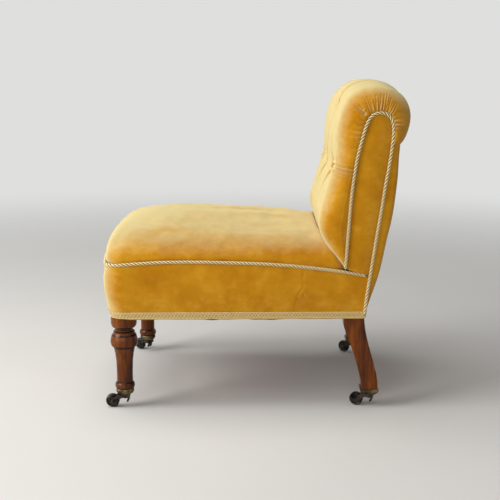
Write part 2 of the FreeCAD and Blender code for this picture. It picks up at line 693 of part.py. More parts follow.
def button(x, z):
    """Covered button with a domed face."""
    y = surface_y(x, z) + BUTTON_DEPTH
    disc = Part.makeCylinder(BUTTON_RADIUS, 4.0, V(x, y - 4.0, z), V(0, 1, 0))
    cap = Part.makeSphere(12.0, V(x, y - 4.0 + 9.0, z))
    cap = cap.common(Part.makeCylinder(BUTTON_RADIUS, 6.0, V(x, y - 10.0, z), V(0, 1, 0)))
    return disc.fuse(cap).removeSplitter()


def back_padding():
    """Cover, stuffing and buttons of the inside back."""
    outer, inner = back_form(0.0), back_form(COVER_THICK)
    space = facing_space()
    gone = [back_core(), space, mirrored(space)]
    cones = [tuft_cone(x, z, 0.0) for x, z in BUTTONS]
    cones_in = [tuft_cone(x, z, COVER_THICK) for x, z in BUTTONS]
    stuffing = inner.cut(gone).cut(cones_in)
    cover = outer.cut(gone).cut(cones).cut(stuffing)
    return {
        "back_stuffing": biggest(stuffing),
        "back_cover": biggest(cover),
        "back_buttons": Part.makeCompound([button(x, z) for x, z in BUTTONS]),
    }, outer


def back_springing():
    """Canvas on the posts and the straps behind it."""
    front = [V(-POST_OUT_X, a, z) for z, a, b in POST_SECTIONS[1:]]
    back = [V(p.x, p.y - CANVAS_THICK, p.z) for p in front]
    chain = front + list(reversed(back))
    wire = Part.Wire([line(a, b) for a, b in zip(chain, chain[1:] + chain[:1])])
    canvas = Part.Face(wire).extrude(V(2 * POST_OUT_X, 0, 0))
    straps = []
    for x in (-105.0, 0.0, 105.0):
        points = [(220.0 - WEB_THICK, 330.0), (220.0, 330.0), (220.0, 367.0), (258.0, 592.0),
                  (258.0, 640.0), (258.0 - WEB_THICK, 640.0), (258.0 - WEB_THICK, 591.5),
                  (220.0 - WEB_THICK, 367.2)]
        straps.append(polygon_x(points, x - WEB_WIDTH / 2, x + WEB_WIDTH / 2))
    straps = [single(s.cut(canvas)) for s in straps]
    return {"back_canvas": canvas, "back_webbing": Part.makeCompound(straps)}


def side_facing():
    """Padded facing panel on the side of the back, right side."""
    path = FACING_FRONT[1:] + FACING_ARCH + FACING_REAR[:-2]
    corners = yz(offset_line(path, SEAM_HALF))
    edges = [spline_edge(corners), line(corners[-1], corners[0])]
    panel = prism_x(edges, POST_OUT_X, 250.0)
    outside = polygon_z([(side_x(150.0) - 1.5, 150.0), (side_x(360.0) - 1.5, 360.0),
                         (300.0, 360.0), (300.0, 150.0)], 200.0, 760.0)
    return single(panel.cut(outside).common(above_cord(SEAM_HALF)))


def outside_wire(z, front, rear, side_inset, radius):
    """Section of the outside back at one height."""
    slope = math.atan(SIDE_TAPER)
    nx, ny = math.cos(slope), math.sin(slope)
    cy = rear - radius
    cx = (nx * (SIDE_X - side_inset) + ny * SIDE_Y - radius - ny * cy) / nx
    xa = side_x(front) - side_inset
    mid = math.hypot(nx, 1 + ny)

    def pair(x, y):
        return V(x, y, z), V(-x, y, z)

    fr, fl = pair(xa, front)
    ar, al = pair(cx + radius * nx, cy + radius * ny)
    mr, ml = pair(cx + radius * nx / mid, cy + radius * (1 + ny) / mid)
    br, bl = pair(cx, rear)
    return Part.Wire([
        line(fl, fr), line(fr, ar), Part.Arc(ar, mr, br).toShape(), line(br, bl),
        Part.Arc(bl, ml, al).toShape(), line(al, fl),
    ])


def outside_body(skin):
    """Padded outside back from the foot band to the roll."""
    wires = []
    for z, front, rear in OUTSIDE_BACK:
        radius = 5.5 if z < 240.0 else 12.0
        side = lerp_table([(231.0, 4.0), (300.0, 1.0), (605.0, 1.0)], z)
        wires.append(outside_wire(z, front, rear - skin, side + skin, max(radius - skin, 1.5)))
    return Part.makeLoft(wires, True, False, False, LOFT_DEGREE)


def outside_back(posts):
    """Velvet panel of the outside back and the wadding under it."""
    side_room = rear_of_cord(SEAM_HALF)
    inner_room = box(-POST_OUT_X, POST_OUT_X, 200, 420, 200, 700)
    foot_rear = box(-300, 300, POST_REAR_Y + 0.5, 420, 200, 300)
    outer = outside_body(0.0).fuse(foot_band(0.0).common(foot_rear))
    room = side_room.fuse(inner_room)
    outer = outer.common(room).cut(posts)
    inner = outside_body(COVER_THICK).common(room).cut(posts)
    return {"outside_back_cover": biggest(outer.cut(inner)), "outside_back_wadding": biggest(inner)}


# Trimmings


def rounded_path(points):
    """Straight runs through the points, joined by tangent arcs as large as the runs allow."""
    edges = []
    start = points[0]
    for before, corner, after in zip(points, points[1:], points[2:]):
        run_in = corner - before
        run_out = after - corner
        reach = 0.45 * min(run_in.Length, run_out.Length)
        way_in = V(run_in).normalize()
        way_out = V(run_out).normalize()
        arc_a = corner - way_in * reach
        arc_b = corner + way_out * reach
        half = way_in.getAngle(way_out) / 2
        inward = (way_out - way_in).normalize()
        sag = reach * math.tan(half / 2) * math.cos(half)
        middle = (arc_a + arc_b) * 0.5
        edges.append(line(start, arc_a))
        edges.append(Part.Arc(arc_a, middle - inward * sag, arc_b).toShape())
        start = arc_b
    edges.append(line(start, points[-1]))
    return Part.Wire(edges)


def tube(points, radius):
    """Round cord through the points."""
    ring = Part.Wire(Part.makeCircle(radius, points[0], points[1] - points[0]))
    return rounded_path(points).makePipeShell([ring], True, False)


def facing_cord():
    """Cord round the facing, from the seat cord over the arch to the gimp."""
    path = FACING_FRONT[1:] + FACING_ARCH + FACING_REAR
    first = (208.9, 330.5)
    points = [first] + path[1:-1] + [(254.4, 236.0)]
    return tube([V(side_x(y) + 0.6, y, z) for y, z in points], CORD_RADIUS)


def seat_cord():
    """Cord round the top of the border."""
    inset = 2.6
    k = outline_points(inset, inset + 2.0, CORNER_RADIUS, 259.0, 6.0)
    half = []
    steps = 6
    for i in range(steps + 1):
        x = k["corner_a"][0] * i / steps
        bow_y = FRONT_Y + FRONT_BOW_RADIUS
        radius = FRONT_BOW_RADIUS - inset - 2.0
        half.append((x, bow_y - math.sqrt(radius * radius - x * x)))
    cx, cy = corner_centre(inset, inset + 2.0, CORNER_RADIUS)
    a0 = math.atan2(k["corner_a"][1] - cy, k["corner_a"][0] - cx)
    a1 = math.atan2(k["corner_b"][1] - cy, k["corner_b"][0] - cx)
    for i in range(1, 6):
        a = a0 + (a1 - a0) * i / 5
        half.append((cx + CORNER_RADIUS * math.cos(a), cy + CORNER_RADIUS * math.sin(a)))
    for y in (-225.0, -169.0, -114.0, -59.0, -3.5, 52.0, 108.0, 152.0, 208.0, 253.0):
        half.append((side_x(y) - inset, y))
    rows = [(y, z) for y, z in SEAT_CORD_LINE]
    points = [V(x, y, lerp_table(rows, y)) for x, y in half]
    other = [V(-p.x, p.y, p.z) for p in reversed(points[1:])]
    return tube(other + points, CORD_RADIUS)


def gimp():
    """Flat braid round the bottom edge."""
    band = foot_band(GIMP_THICK).cut(foot_band(0.0))
    return single(band.common(box(-320, 320, -420, 420, SEAT_BOTTOM, GIMP_TOP)))


def bottoming(legs, straps):
    """Black cloth tacked under the seat frame, its edge turned up to the rails."""
    sheet = frame_prism(SEAT_BOTTOM, SEAT_BOTTOM + 1.0, POST_REAR_Y)
    rim = frame_prism(SEAT_BOTTOM + 1.0, RAIL_BOTTOM, POST_REAR_Y)
    hole = polygon_z([(-218.0, -285.0), (218.0, -285.0), (206.0, 236.0), (-206.0, 236.0)],
                     SEAT_BOTTOM, RAIL_BOTTOM + 5.0)
    rim = rim.cut(hole)
    cloth = sheet.fuse(rim).cut(straps)
    for leg in legs:
        cloth = cloth.cut(leg)
    return biggest(cloth)


# Castors


def round_cup(x, y):
    """Brass cup on a turned leg."""
    profile = [(0.0, CUP_BOTTOM), (13.8, CUP_BOTTOM), (18.0, 34.8), (20.5, 39.0), (20.4, 43.0),
               (19.4, CUP_TOP), (18.39, CUP_TOP), (18.3, 40.0), (12.0, 36.0), (0.0, 36.0)]
    return revolved(profile, x, y)


def square_cup(x, y):
    """Brass cup on a square leg."""

    def square(half, z):
        return rect_wire(z, x - half, x + half, y - half, y + half)

    outer = Part.makeLoft([square(13.5, CUP_BOTTOM), square(17.0, 36.0), square(20.6, 40.5),
                           square(20.6, CUP_TOP)], True, True)
    return outer


def swivel_pin(x, y):
    """Pin under the cup with its riveted head."""
    low = HORN_BOTTOM - SIDE_PLAY
    shank = Part.makeCylinder(PIN_RADIUS, CUP_BOTTOM - low, V(x, y, low))
    head = Part.makeCone(4.6, 6.2, 2.5, V(x, y, low - 2.5))
    return shank.fuse(head).removeSplitter()


def horn(x, y, angle):
    """Forked horn; angle turns the wheel from straight ahead."""
    half_in = WHEEL_WIDTH / 2 + SIDE_PLAY
    half_out = half_in + ARM_THICK
    z_axle = WHEEL_RADIUS
    arm = [(10.0, HORN_TOP), (-12.0, HORN_TOP), (-(TRAIL + 3.0), 21.5), (-(TRAIL + 6.0), 17.5),
           (-(TRAIL + 5.5), 12.5), (-(TRAIL - 1.0), 10.0), (-(TRAIL - 6.0), 12.0), (-14.0, 19.5),
           (-6.0, HORN_BOTTOM), (10.5, HORN_BOTTOM)]
    arms = [polygon_x(arm, half_in, half_out), polygon_x(arm, -half_out, -half_in)]
    body = box(-half_out, half_out, -10.0, 10.2, HORN_BOTTOM, HORN_TOP)
    spur = polygon_x([(7.4, HORN_BOTTOM + 1.0), (11.0, HORN_TOP), (9.8, 19.0), (7.2, 13.2), (4.2, 12.8),
                      (2.8, 15.0)], -6.0, 6.0)
    spur = spur.cut(Part.makeCylinder(6.8, 10.0, V(0, 0, HORN_BOTTOM - 10.0)))
    solid = body.fuse(arms + [spur])
    solid = solid.cut(Part.makeCylinder(PIN_RADIUS + RUN_FIT, 20.0, V(0, 0, 20.0)))
    solid = solid.cut(Part.makeCylinder(AXLE_RADIUS, 60.0, V(-30, -TRAIL, z_axle), V(1, 0, 0)))
    solid = biggest(solid)
    solid.rotate(V(0, 0, 0), V(0, 0, 1), angle)
    solid.translate(V(x, y, 0))
    return solid


def wheel(x, y, angle):
    """Castor wheel with a crowned tread and a bored hub."""
    h = WHEEL_WIDTH / 2
    r = WHEEL_RADIUS
    bore = AXLE_RADIUS + RUN_FIT
    profile = [(bore, -h), (6.0, -h), (6.4, -h + 1.2), (r - 4.0, -h + 1.2), (r - 2.6, -h + 0.6),
               (r - 0.8, -h + 2.2), (r, -h + 4.6), (r, h - 4.6), (r - 0.8, h - 2.2), (r - 2.6, h - 0.6),
               (r - 4.0, h - 1.2), (6.4, h - 1.2), (6.0, h), (bore, h)]
    points = [V(t, 0, s) for s, t in profile]
    wire = Part.Wire([line(a, b) for a, b in zip(points, points[1:] + points[:1])])
    solid = Part.Face(wire).revolve(V(0, 0, 0), V(1, 0, 0), 360)
    solid.translate(V(0, -TRAIL, WHEEL_RADIUS))
    solid.rotate(V(0, 0, 0), V(0, 0, 1), angle)
    solid.translate(V(x, y, 0))
    return solid


def axle(x, y, angle):
    """Riveted axle through both arms of the horn."""
    half = WHEEL_WIDTH / 2 + SIDE_PLAY + ARM_THICK
    pin = Part.makeCylinder(AXLE_RADIUS, 2 * half, V(-half, -TRAIL, WHEEL_RADIUS), V(1, 0, 0))
    heads = [Part.makeCone(3.8, 2.4, 1.4, V(half, -TRAIL, WHEEL_RADIUS), V(1, 0, 0)),
             Part.makeCone(3.8, 2.4, 1.4, V(-half, -TRAIL, WHEEL_RADIUS), V(-1, 0, 0))]
    solid = pin.fuse(heads).removeSplitter()
    solid.rotate(V(0, 0, 0), V(0, 0, 1), angle)
    solid.translate(V(x, y, 0))
    return solid


def castors(nodes):
    """Cup, pin, horn, wheel and axle under every leg."""
    for name, (x, y, angle) in CASTORS.items():
        leg = name.split("_")[0] + "_leg_" + name.split("_")[1]
        if name.startswith("front"):
            cup = round_cup(x, y)
        else:
            cup = square_cup(x, y).cut(nodes[leg])
        nodes["castor_cup_" + name] = single(cup)
        nodes["castor_pin_" + name] = swivel_pin(x, y)
        nodes["castor_horn_" + name] = horn(x, y, angle)
        nodes["castor_wheel_" + name] = wheel(x, y, angle)
        nodes["castor_axle_" + name] = axle(x, y, angle)


def build():
    """Every named piece of the chair."""
    nodes = wooden_frame()
    nodes["seat_webbing"] = seat_webbing()
    nodes["seat_springs"] = Part.makeCompound([coil_spring(x, y) for x in SPRING_X for y in SPRING_Y])
    padding, form = back_padding()
    nodes.update(padding)
    nodes.update(back_springing())
    space = facing_space()
    nodes.update(seat_inside(form, space.fuse(mirrored(space))))
    nodes["seat_border"] = seat_border()
    panel = side_facing()
    nodes["side_facing_left"], nodes["side_facing_right"] = panel, mirrored(panel)
    nodes.update(outside_back([nodes["rear_leg_left"], nodes["rear_leg_right"]]))
    cord = facing_cord()
    nodes["facing_cord_left"], nodes["facing_cord_right"] = cord, mirrored(cord)
    nodes["seat_cord"] = seat_cord()
    nodes["gimp_braid"] = gimp()
    legs = [nodes[n] for n in ("front_leg_left", "front_leg_right", "rear_leg_left", "rear_leg_right")]
    nodes["bottoming_cloth"] = bottoming(legs, nodes["seat_webbing"])
    castors(nodes)
    return nodes


os.makedirs("parts", exist_ok=True)
for node_name, node_shape in build().items():
    node_shape.exportStep("parts/" + node_name + ".step")
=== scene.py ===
"""Slipper chair in gold velvet: its covers, trimmings, finishes, light and camera.

Lengths are in metres, +Z is up, the chair faces -Y and its own left side is +X.
The tables of traced forms and the mesh code that reads them work in millimetres.
"""
import json
import math

import bmesh
import bpy
import numpy as np
from mathutils import Matrix, Vector


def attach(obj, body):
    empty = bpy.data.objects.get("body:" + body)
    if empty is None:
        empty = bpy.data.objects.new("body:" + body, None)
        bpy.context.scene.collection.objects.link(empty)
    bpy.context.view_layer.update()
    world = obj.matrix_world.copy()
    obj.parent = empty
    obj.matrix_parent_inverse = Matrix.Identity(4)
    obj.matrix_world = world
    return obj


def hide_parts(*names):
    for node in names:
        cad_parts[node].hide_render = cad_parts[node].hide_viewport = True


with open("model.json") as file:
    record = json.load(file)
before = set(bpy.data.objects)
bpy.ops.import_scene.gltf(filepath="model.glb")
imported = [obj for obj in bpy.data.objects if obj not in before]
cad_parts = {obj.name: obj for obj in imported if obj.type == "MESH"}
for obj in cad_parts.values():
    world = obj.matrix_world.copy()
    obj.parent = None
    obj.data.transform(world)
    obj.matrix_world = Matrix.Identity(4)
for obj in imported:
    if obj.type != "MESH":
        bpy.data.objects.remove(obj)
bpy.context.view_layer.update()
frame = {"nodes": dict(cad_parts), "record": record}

MM = 0.001
BODY = "chair"
UP = (0, 0, 1)
LEFT = (1, 0, 0)

# Plan of the chair
SIDE_X = 262.0
SIDE_Y = -290.0
SIDE_TAPER = 22.0 / 539.0
SIDE_TURN = math.atan(SIDE_TAPER)
SIDE_NX = math.cos(SIDE_TURN)
SIDE_NY = math.sin(SIDE_TURN)
FRONT_Y = -352.0
FRONT_BOW_RADIUS = 1385.0
BOW_Y = FRONT_Y + FRONT_BOW_RADIUS
BORDER_FOOT = 213.0
SEAT_BOTTOM = 215.0
GIMP_TOP = 230.0
SEAM_LEVEL = 341.0
REAR_Y = 259.0
REAR_RADIUS = 6.0
CORD_RADIUS = 3.75
TILT_PIVOT = -250.0

# Traced lines (Y, Z)
SEAT_CORD_LINE = [
    (-353, 337.5), (-309, 337.6), (-269, 340.2), (-225, 343.4), (-169, 345),
    (-114, 344.8), (-59, 343.5), (-3.5, 341.7), (52, 338.6), (108, 333.9),
    (152, 328.7), (208, 321.3), (262, 312), (300, 305),
]
FACING_FRONT = [
    (208.9, 328), (213.6, 403.7), (219.7, 493.3), (228.2, 561.9),
    (233.6, 590), (239.8, 615), (246.6, 640), (254.2, 659),
]
FACING_ARCH = [(264.5, 670), (277, 674), (290.5, 672), (300.6, 664.5), (306.5, 651.4)]
FACING_REAR = [
    (308, 633.2), (306.9, 608.7), (303.6, 579.8), (298.6, 546.1), (294, 518.8),
    (286.2, 461.5), (275.4, 389.6), (265.1, 316.7), (257.8, 263.6), (254.4, 236),
]
BACK_PROFILE = [
    (212, 322), (189, 347), (168, 374), (153, 398), (146, 420),
    (146.4, 441), (154.4, 465), (165.5, 505), (175.5, 548), (180.5, 573),
    (182.5, 600), (182.5, 625), (184, 645), (187.5, 665), (193.1, 686),
    (201.4, 706), (217.4, 724.5), (236.5, 735.5), (257.1, 740.3), (279, 741),
    (301, 737.5), (320, 729), (336, 716), (346.5, 699), (351.5, 681),
    (352, 665), (349.5, 648), (344, 629), (337, 615), (328, 605),
]
# a point of the back's profile and the point of the facing seam that it is drawn in to
PROFILE_TO_FACING = [
    ((212, 322), (208.9, 328)), ((146.4, 441), (215.5, 432)),
    ((175.5, 548), (226.4, 547)), ((182.5, 625), (240.5, 617.5)),
    ((187.5, 665), (248, 644)), ((201.4, 706), (257, 662.5)),
    ((236.5, 735.5), (267, 671)), ((279, 741), (279, 674)),
    ((320, 729), (293, 671)), ((346.5, 699), (302.5, 661.5)),
    ((351.5, 681), (305.5, 654)), ((349.5, 648), (308, 633)),
    ((337, 615), (307.3, 617)), ((328, 605), (306.7, 606)),
]
OUTSIDE_BACK = [
    (215, 256.5), (231, 259), (263.5, 269.6), (304.5, 281.6), (347, 292.3),
    (397, 301.8), (433, 309.9), (485, 317.3), (529, 321.3), (577, 323.6),
    (605, 325), (618, 322),
]
# height, inset of the sides, inset of the front, corner radius
BORDER_SECTIONS = [
    (213, 6.2, 14.2, 36), (231, 4, 9.5, 36), (258, 1.5, 4.5, 37),
    (284, 0, 0, 38), (312, 0.5, 0.6, 38), (341, 2, 4, 38),
]
# the same, then the rear edge and the tilt in degrees
DOME_SECTIONS = [
    (341, 2, 4, 38, 214, 0), (352, 4, 3.6, 39, 214, 0.1),
    (362.5, 9, 4.6, 42, 213.5, 0.2), (375, 19, 9.5, 48, 212, 0.5),
    (387.5, 35, 18, 60, 209, 0.9), (398.5, 58, 30, 78, 205, 1.3),
    (407.5, 86, 48, 94, 198, 1.7), (416, 116, 71, 102, 188, 2.1),
    (424, 144, 100, 88, 172, 2.5), (431, 171, 131, 64, 140, 2.8),
    (435, 194, 165, 42, 96, 2.4),
]
DOME_REAR_HALF = 245.0
DOME_CROWN = 7.0
BUTTONS = [(-150, 550), (0, 550), (150, 550), (-75, 688), (75, 688)]


# Curves and grids


def catmull(points, steps=14):
    """Dense smooth line through the points."""
    p = np.asarray(points, float)
    p = np.vstack([2 * p[0] - p[1], p, 2 * p[-1] - p[-2]])
    t = np.linspace(0, 1, steps, endpoint=False)[:, None]
    spans = []
    for a, b, c, d in zip(p, p[1:], p[2:], p[3:]):
        cubic = (3 * b - a - 3 * c + d) * t ** 3
        square = (2 * a - 5 * b + 4 * c - d) * t ** 2
        spans.append(0.5 * (2 * b + (c - a) * t + square + cubic))
    return np.vstack(spans + [p[-2:-1]])


def run_of(line, keys=slice(None)):
    """Length along a line up to each of its points."""
    steps = np.linalg.norm(np.diff(line[:, keys], axis=0), axis=1)
    return np.concatenate([[0.0], np.cumsum(steps)])


def at_shares(line, shares, keys=slice(None)):
    """Points of a line at shares of its length."""
    run = run_of(line, keys)
    return np.stack([np.interp(np.asarray(shares) * run[-1], run, c) for c in line.T], axis=-1)


def smoothstep(t):
    """Smooth rise from 0 at t = 0 to 1 at t = 1."""
    t = np.clip(t, 0.0, 1.0)
    return t * t * (3 - 2 * t)


def refine(grid):
    """The grid with a smooth new row and column between every two."""
    for axis in (0, 1):
        g = np.moveaxis(grid, axis, 0)
        p = np.concatenate([2 * g[:1] - g[1:2], g, 2 * g[-1:] - g[-2:-1]])
        middle = (9 * (p[1:-2] + p[2:-1]) - p[:-3] - p[3:]) / 16
        out = np.empty((2 * len(g) - 1,) + g.shape[1:])
        out[0::2] = g
        out[1::2] = middle
        grid = np.moveaxis(out, 0, axis)
    return grid


def outward(grid):
    """Unit normals of a grid that wraps round its own middle, pointing away from it."""
    n = np.cross(np.gradient(grid, axis=1), np.gradient(grid, axis=0))
    n /= np.maximum(np.linalg.norm(n, axis=2, keepdims=True), 1e-9)
    away = grid - grid.mean(axis=(0, 1))
    return n if np.sum(n * away) > 0 else -n


def grid_faces(rows, cols, wrap_cols=False, wrap_rows=False, start=0):
    """Quads of a grid whose points are numbered row by row from start."""
    faces = []
    for r in range(rows if wrap_rows else rows - 1):
        low, high = start + r * cols, start + ((r + 1) % rows) * cols
        for c in range(cols if wrap_cols else cols - 1):
            d = (c + 1) % cols
            faces.append((low + c, low + d, high + d, high + c))
    return faces


def tube_faces(rows, cols, start=0):
    """Faces of a tube of rings, closed at both ends."""
    last = start + (rows - 1) * cols
    ends = [tuple(range(start + cols - 1, start - 1, -1)), tuple(range(last, last + cols))]
    return grid_faces(rows, cols, wrap_cols=True, start=start) + ends


def cleaned(points, faces, join=1e-3):
    """Joins coincident points, drops collapsed faces and turns all faces outward."""
    bm = bmesh.new()
    verts = [bm.verts.new(p) for p in points]
    for f in faces:
        corners = [verts[i] for i in dict.fromkeys(f)]
        if len(corners) > 2:
            bm.faces.new(corners)
    bmesh.ops.remove_doubles(bm, verts=bm.verts, dist=join)
    bmesh.ops.dissolve_degenerate(bm, edges=bm.edges, dist=join)
    wide = [f for f in bm.faces if len(f.verts) > 4]
    bmesh.ops.triangulate(bm, faces=wide)
    loose = [v for v in bm.verts if not v.link_faces]
    bmesh.ops.delete(bm, geom=loose, context="VERTS")
    bmesh.ops.recalc_face_normals(bm, faces=bm.faces)
    bm.verts.index_update()
    out = np.array([v.co for v in bm.verts])
    quads = [tuple(v.index for v in f.verts) for f in bm.faces]
    bm.free()
    return out, quads


def piece(name, points, faces, material, slot, finer=False):
    """Named mesh of the chair, its points in millimetres."""
    mesh = bpy.data.meshes.new(name)
    mesh.from_pydata((np.asarray(points) * MM).tolist(), [], faces)
    mesh.update()
    obj = bpy.data.objects.new(name, mesh)
    bpy.context.scene.collection.objects.link(obj)
    if finer:
        subdivide(obj)
    obj.data.shade_smooth()
    obj.data.materials.append(material)
    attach(obj, BODY)
    return obj


def subdivide(obj):
    """Gives the object its mesh after one Catmull-Clark subdivision."""
    coarse = obj.data
    modifier = obj.modifiers.new("smooth", "SUBSURF")
    modifier.levels = modifier.render_levels = 1
    bpy.context.view_layer.update()
    evaluated = obj.evaluated_get(bpy.context.evaluated_depsgraph_get())
    obj.data = bpy.data.meshes.new_from_object(evaluated)
    obj.modifiers.clear()
    bpy.data.meshes.remove(coarse)
    obj.data.name = obj.name


def shell(outer, inner):
    """Closed skin between two grids of the same size."""
    rows, cols = outer.shape[:2]
    count = rows * cols
    points = np.concatenate([outer.reshape(-1, 3), inner.reshape(-1, 3)])
    faces = grid_faces(rows, cols) + [f[::-1] for f in grid_faces(rows, cols, start=count)]
    edge = list(range(cols)) + [r * cols + cols - 1 for r in range(1, rows)]
    edge += [(rows - 1) * cols + c for c in range(cols - 2, -1, -1)]
    edge += [r * cols for r in range(rows - 2, 0, -1)]
    for a, b in zip(edge, edge[1:] + edge[:1]):
        faces.append((b, a, a + count, b + count))
    return cleaned(points, faces)


# Plan outline


def side_x(y):
    """Half width of the chair at depth y."""
    return SIDE_X - SIDE_TAPER * (y - SIDE_Y)


def cord_height(y):
    """Height of the seat cord at depth y."""
    line = catmull(SEAT_CORD_LINE)
    return np.interp(y, line[:, 0], line[:, 1])


def tuck(distance, depth, reach):
    """How far a cover is drawn in at a distance from its seam."""
    return depth * np.exp(-distance / reach)


def side_reach(inset, radius):
    """Distance from the origin to the line of corner centres along the side."""
    return SIDE_NX * (SIDE_X - inset) + SIDE_NY * SIDE_Y - radius


def corner_centre(side_inset, front_inset, radius):
    """Centre of the rounded front corner, tangent to the side and to the bowed front."""
    ring = FRONT_BOW_RADIUS - front_inset - radius
    offset = SIDE_NY * BOW_Y - side_reach(side_inset, radius)
    run = math.sqrt(ring * ring - offset * offset)
    return -SIDE_NX * offset + SIDE_NY * run, BOW_Y - SIDE_NY * offset - SIDE_NX * run


def rear_centre_x(centre_y, inset, radius):
    """Where the centre of a rounded rear corner lies across, tangent to the side."""
    return (side_reach(inset, radius) - SIDE_NY * centre_y) / SIDE_NX


def arc(cx, cy, radius, a0, a1, count):
    """Points of an arc without its last one."""
    a = np.linspace(a0, a1, count, endpoint=False)
    return np.stack([cx + radius * np.cos(a), cy + radius * np.sin(a)], axis=1)


def half_outline(side_inset, front_inset, radius, rear_y, rear_radius, counts):
    """Plan outline from the front centre round the chair's left to the rear centre."""
    front, corner, side, rear_corner, rear = counts
    cx, cy = corner_centre(side_inset, front_inset, radius)
    turn = math.atan2(cy - BOW_Y, cx)
    rear_cy = rear_y - rear_radius
    rear_cx = rear_centre_x(rear_cy, side_inset, rear_radius)
    normal = np.array([SIDE_NX, SIDE_NY])
    start = (cx, cy) + radius * normal
    end = (rear_cx, rear_cy) + rear_radius * normal
    shares = np.linspace(0, 1, side, endpoint=False)[:, None]
    straight = np.linspace(rear_cx, 0, rear + 1)
    return np.vstack([
        arc(0.0, BOW_Y, FRONT_BOW_RADIUS - front_inset, -math.pi / 2, turn, front),
        arc(cx, cy, radius, turn, SIDE_TURN, corner),
        start + (end - start) * shares,
        arc(rear_cx, rear_cy, rear_radius, SIDE_TURN, math.pi / 2, rear_corner),
        np.stack([straight, np.full(rear + 1, rear_y)], axis=1),
    ])


def both_halves(half):
    """Closed ring from its left half."""
    return np.vstack([half, half[-2:0:-1] * (-1, 1)])


def fill_ring(ring, corner, crown):
    """Grid of points that fills a closed ring; corner counts from the front centre."""
    half = len(ring) // 2
    front = ring[np.arange(-corner, corner + 1)]
    rear = ring[np.arange(half + corner, half - corner - 1, -1)]
    right = ring[np.arange(corner, half - corner + 1)]
    left = ring[np.arange(2 * half - corner, half + corner - 1, -1)]
    u = np.linspace(0, 1, len(front))[None, :, None]
    v = np.linspace(0, 1, len(right))[:, None, None]
    grid = (1 - v) * front[None] + v * rear[None] + (1 - u) * left[:, None] + u * right[:, None]
    grid -= (1 - u) * (1 - v) * front[0] + u * (1 - v) * front[-1]
    grid -= (1 - u) * v * rear[0] + u * v * rear[-1]
    grid[:, :, 2] += (crown * 16 * u * (1 - u) * v * (1 - v))[:, :, 0]
    return grid


# Cloth over stuffing

SWELL_STEPS = 20
# a fold's ridges in widths of its valley: how far out, how wide; then how high
RIDGE_AWAY = 2.1
RIDGE_WIDTH = 1.2
RIDGE_HEIGHT = 0.4


def evened(move, faces, rounds):
    """Moves of the points, averaged with their neighbours."""
    edges = np.array(sorted({tuple(sorted(e)) for f in faces for e in zip(f, f[1:] + f[:1])}))
    count = np.bincount(edges.ravel(), minlength=len(move))[:, None]
    for _ in range(rounds):
        total = np.zeros_like(move)
        np.add.at(total, edges[:, 0], move[edges[:, 1]])
        np.add.at(total, edges[:, 1], move[edges[:, 0]])
        move = 0.5 * move + 0.5 * total / count
    return move


def swollen(points, faces, pinned, pressure, cap, rounds):
    """The free part of a cover swells between its seams and buttons, by no more than cap."""
    scene = bpy.context.scene
    mesh = bpy.data.meshes.new("swelling")
    mesh.from_pydata((points * MM).tolist(), [], faces)
    obj = bpy.data.objects.new("swelling", mesh)
    scene.collection.objects.link(obj)
    group = obj.vertex_groups.new(name="sewn")
    group.add([int(i) for i in np.flatnonzero(pinned)], 1.0, "REPLACE")
    cloth = obj.modifiers.new("cloth", "CLOTH")
    settings = cloth.settings
    settings.quality = 5
    settings.mass = 0.3
    settings.tension_stiffness = settings.compression_stiffness = 20
    settings.shear_stiffness = 10
    settings.bending_stiffness = 1.0
    settings.use_pressure = True
    settings.uniform_pressure_force = pressure
    settings.vertex_group_mass = group.name
    settings.effector_weights.gravity = 0
    cloth.point_cache.frame_start = 1
    cloth.point_cache.frame_end = SWELL_STEPS
    for number in range(1, SWELL_STEPS + 1):
        scene.frame_set(number)
    evaluated = obj.evaluated_get(bpy.context.evaluated_depsgraph_get())
    result = np.array([v.co for v in evaluated.data.vertices]) / MM
    bpy.data.objects.remove(obj)
    bpy.data.meshes.remove(mesh)
    scene.frame_set(1)
    move = evened(result - points, faces, rounds)
    length = np.linalg.norm(move, axis=1, keepdims=True)
    return points + move * np.minimum(1.0, cap / np.maximum(length, 1e-6))


def creased(distance, width):
    """Section of a fold: a valley between two soft ridges."""
    ridge = np.exp(-((distance - RIDGE_AWAY * width) / (RIDGE_WIDTH * width)) ** 2)
    return RIDGE_HEIGHT * ridge - np.exp(-((distance / width) ** 2))


def fold(u, v, a, b, depth, width, fade=1.0):
    """Lift of points (u, v) by one fold from a to b, fading out towards b."""
    a, b = np.array(a), np.array(b)
    d = b - a
    t = ((u - a[0]) * d[0] + (v - a[1]) * d[1]) / (d @ d)
    near = np.clip(t, 0, 1)
    distance = np.hypot(u - a[0] - near * d[0], v - a[1] - near * d[1])
    strength = (1 - fade * smoothstep(near)) * smoothstep(1 - (t - 1) * 4)
    return depth * strength * creased(distance, width)


# Back pad

PAD_ROWS = 121
FLAT_COLUMNS = 26
END_COLUMNS = 25
PAD_BOW = 3.0
PAD_BOW_REACH = 150.0
LEAST_PULL = 12.0
PAD_SEAM_INSET = 3.5
# where the end rounding starts, how wide the pad is there, and how boxy it is
END_AT_SEAT = (196.0, 243.0, 3.6)
END_LESS_AT_ROLL = (10.0, 1.0, 1.15)
# how far the top of the back drops at distances from its middle
TOP_DROP = [(0, 0), (75, 1), (150, 4.5), (190, 7), (214, 8.5), (242, 10)]
# the side of the pad that lies on the frame (Y, Z)
PAD_CORE = [
    (299, 607), (299, 645), (254, 645), (247, 610), (236, 562), (227, 493), (220.5, 404), (215.5, 345),
]
PAD_CORE_HALF = 231.0
BUTTON_HOLLOW = 14.0
BUTTON_PULL = 5.0
BUTTON_PULL_REACH = 26.0
BUTTON_HELD = 8.0
BUTTON_DENT = 9.0
BUTTON_FLAT = 6.0


def facing_line():
    """Seam of the facing that the cover of the back is drawn in to."""
    return catmull(FACING_FRONT + FACING_ARCH + FACING_REAR[:3])


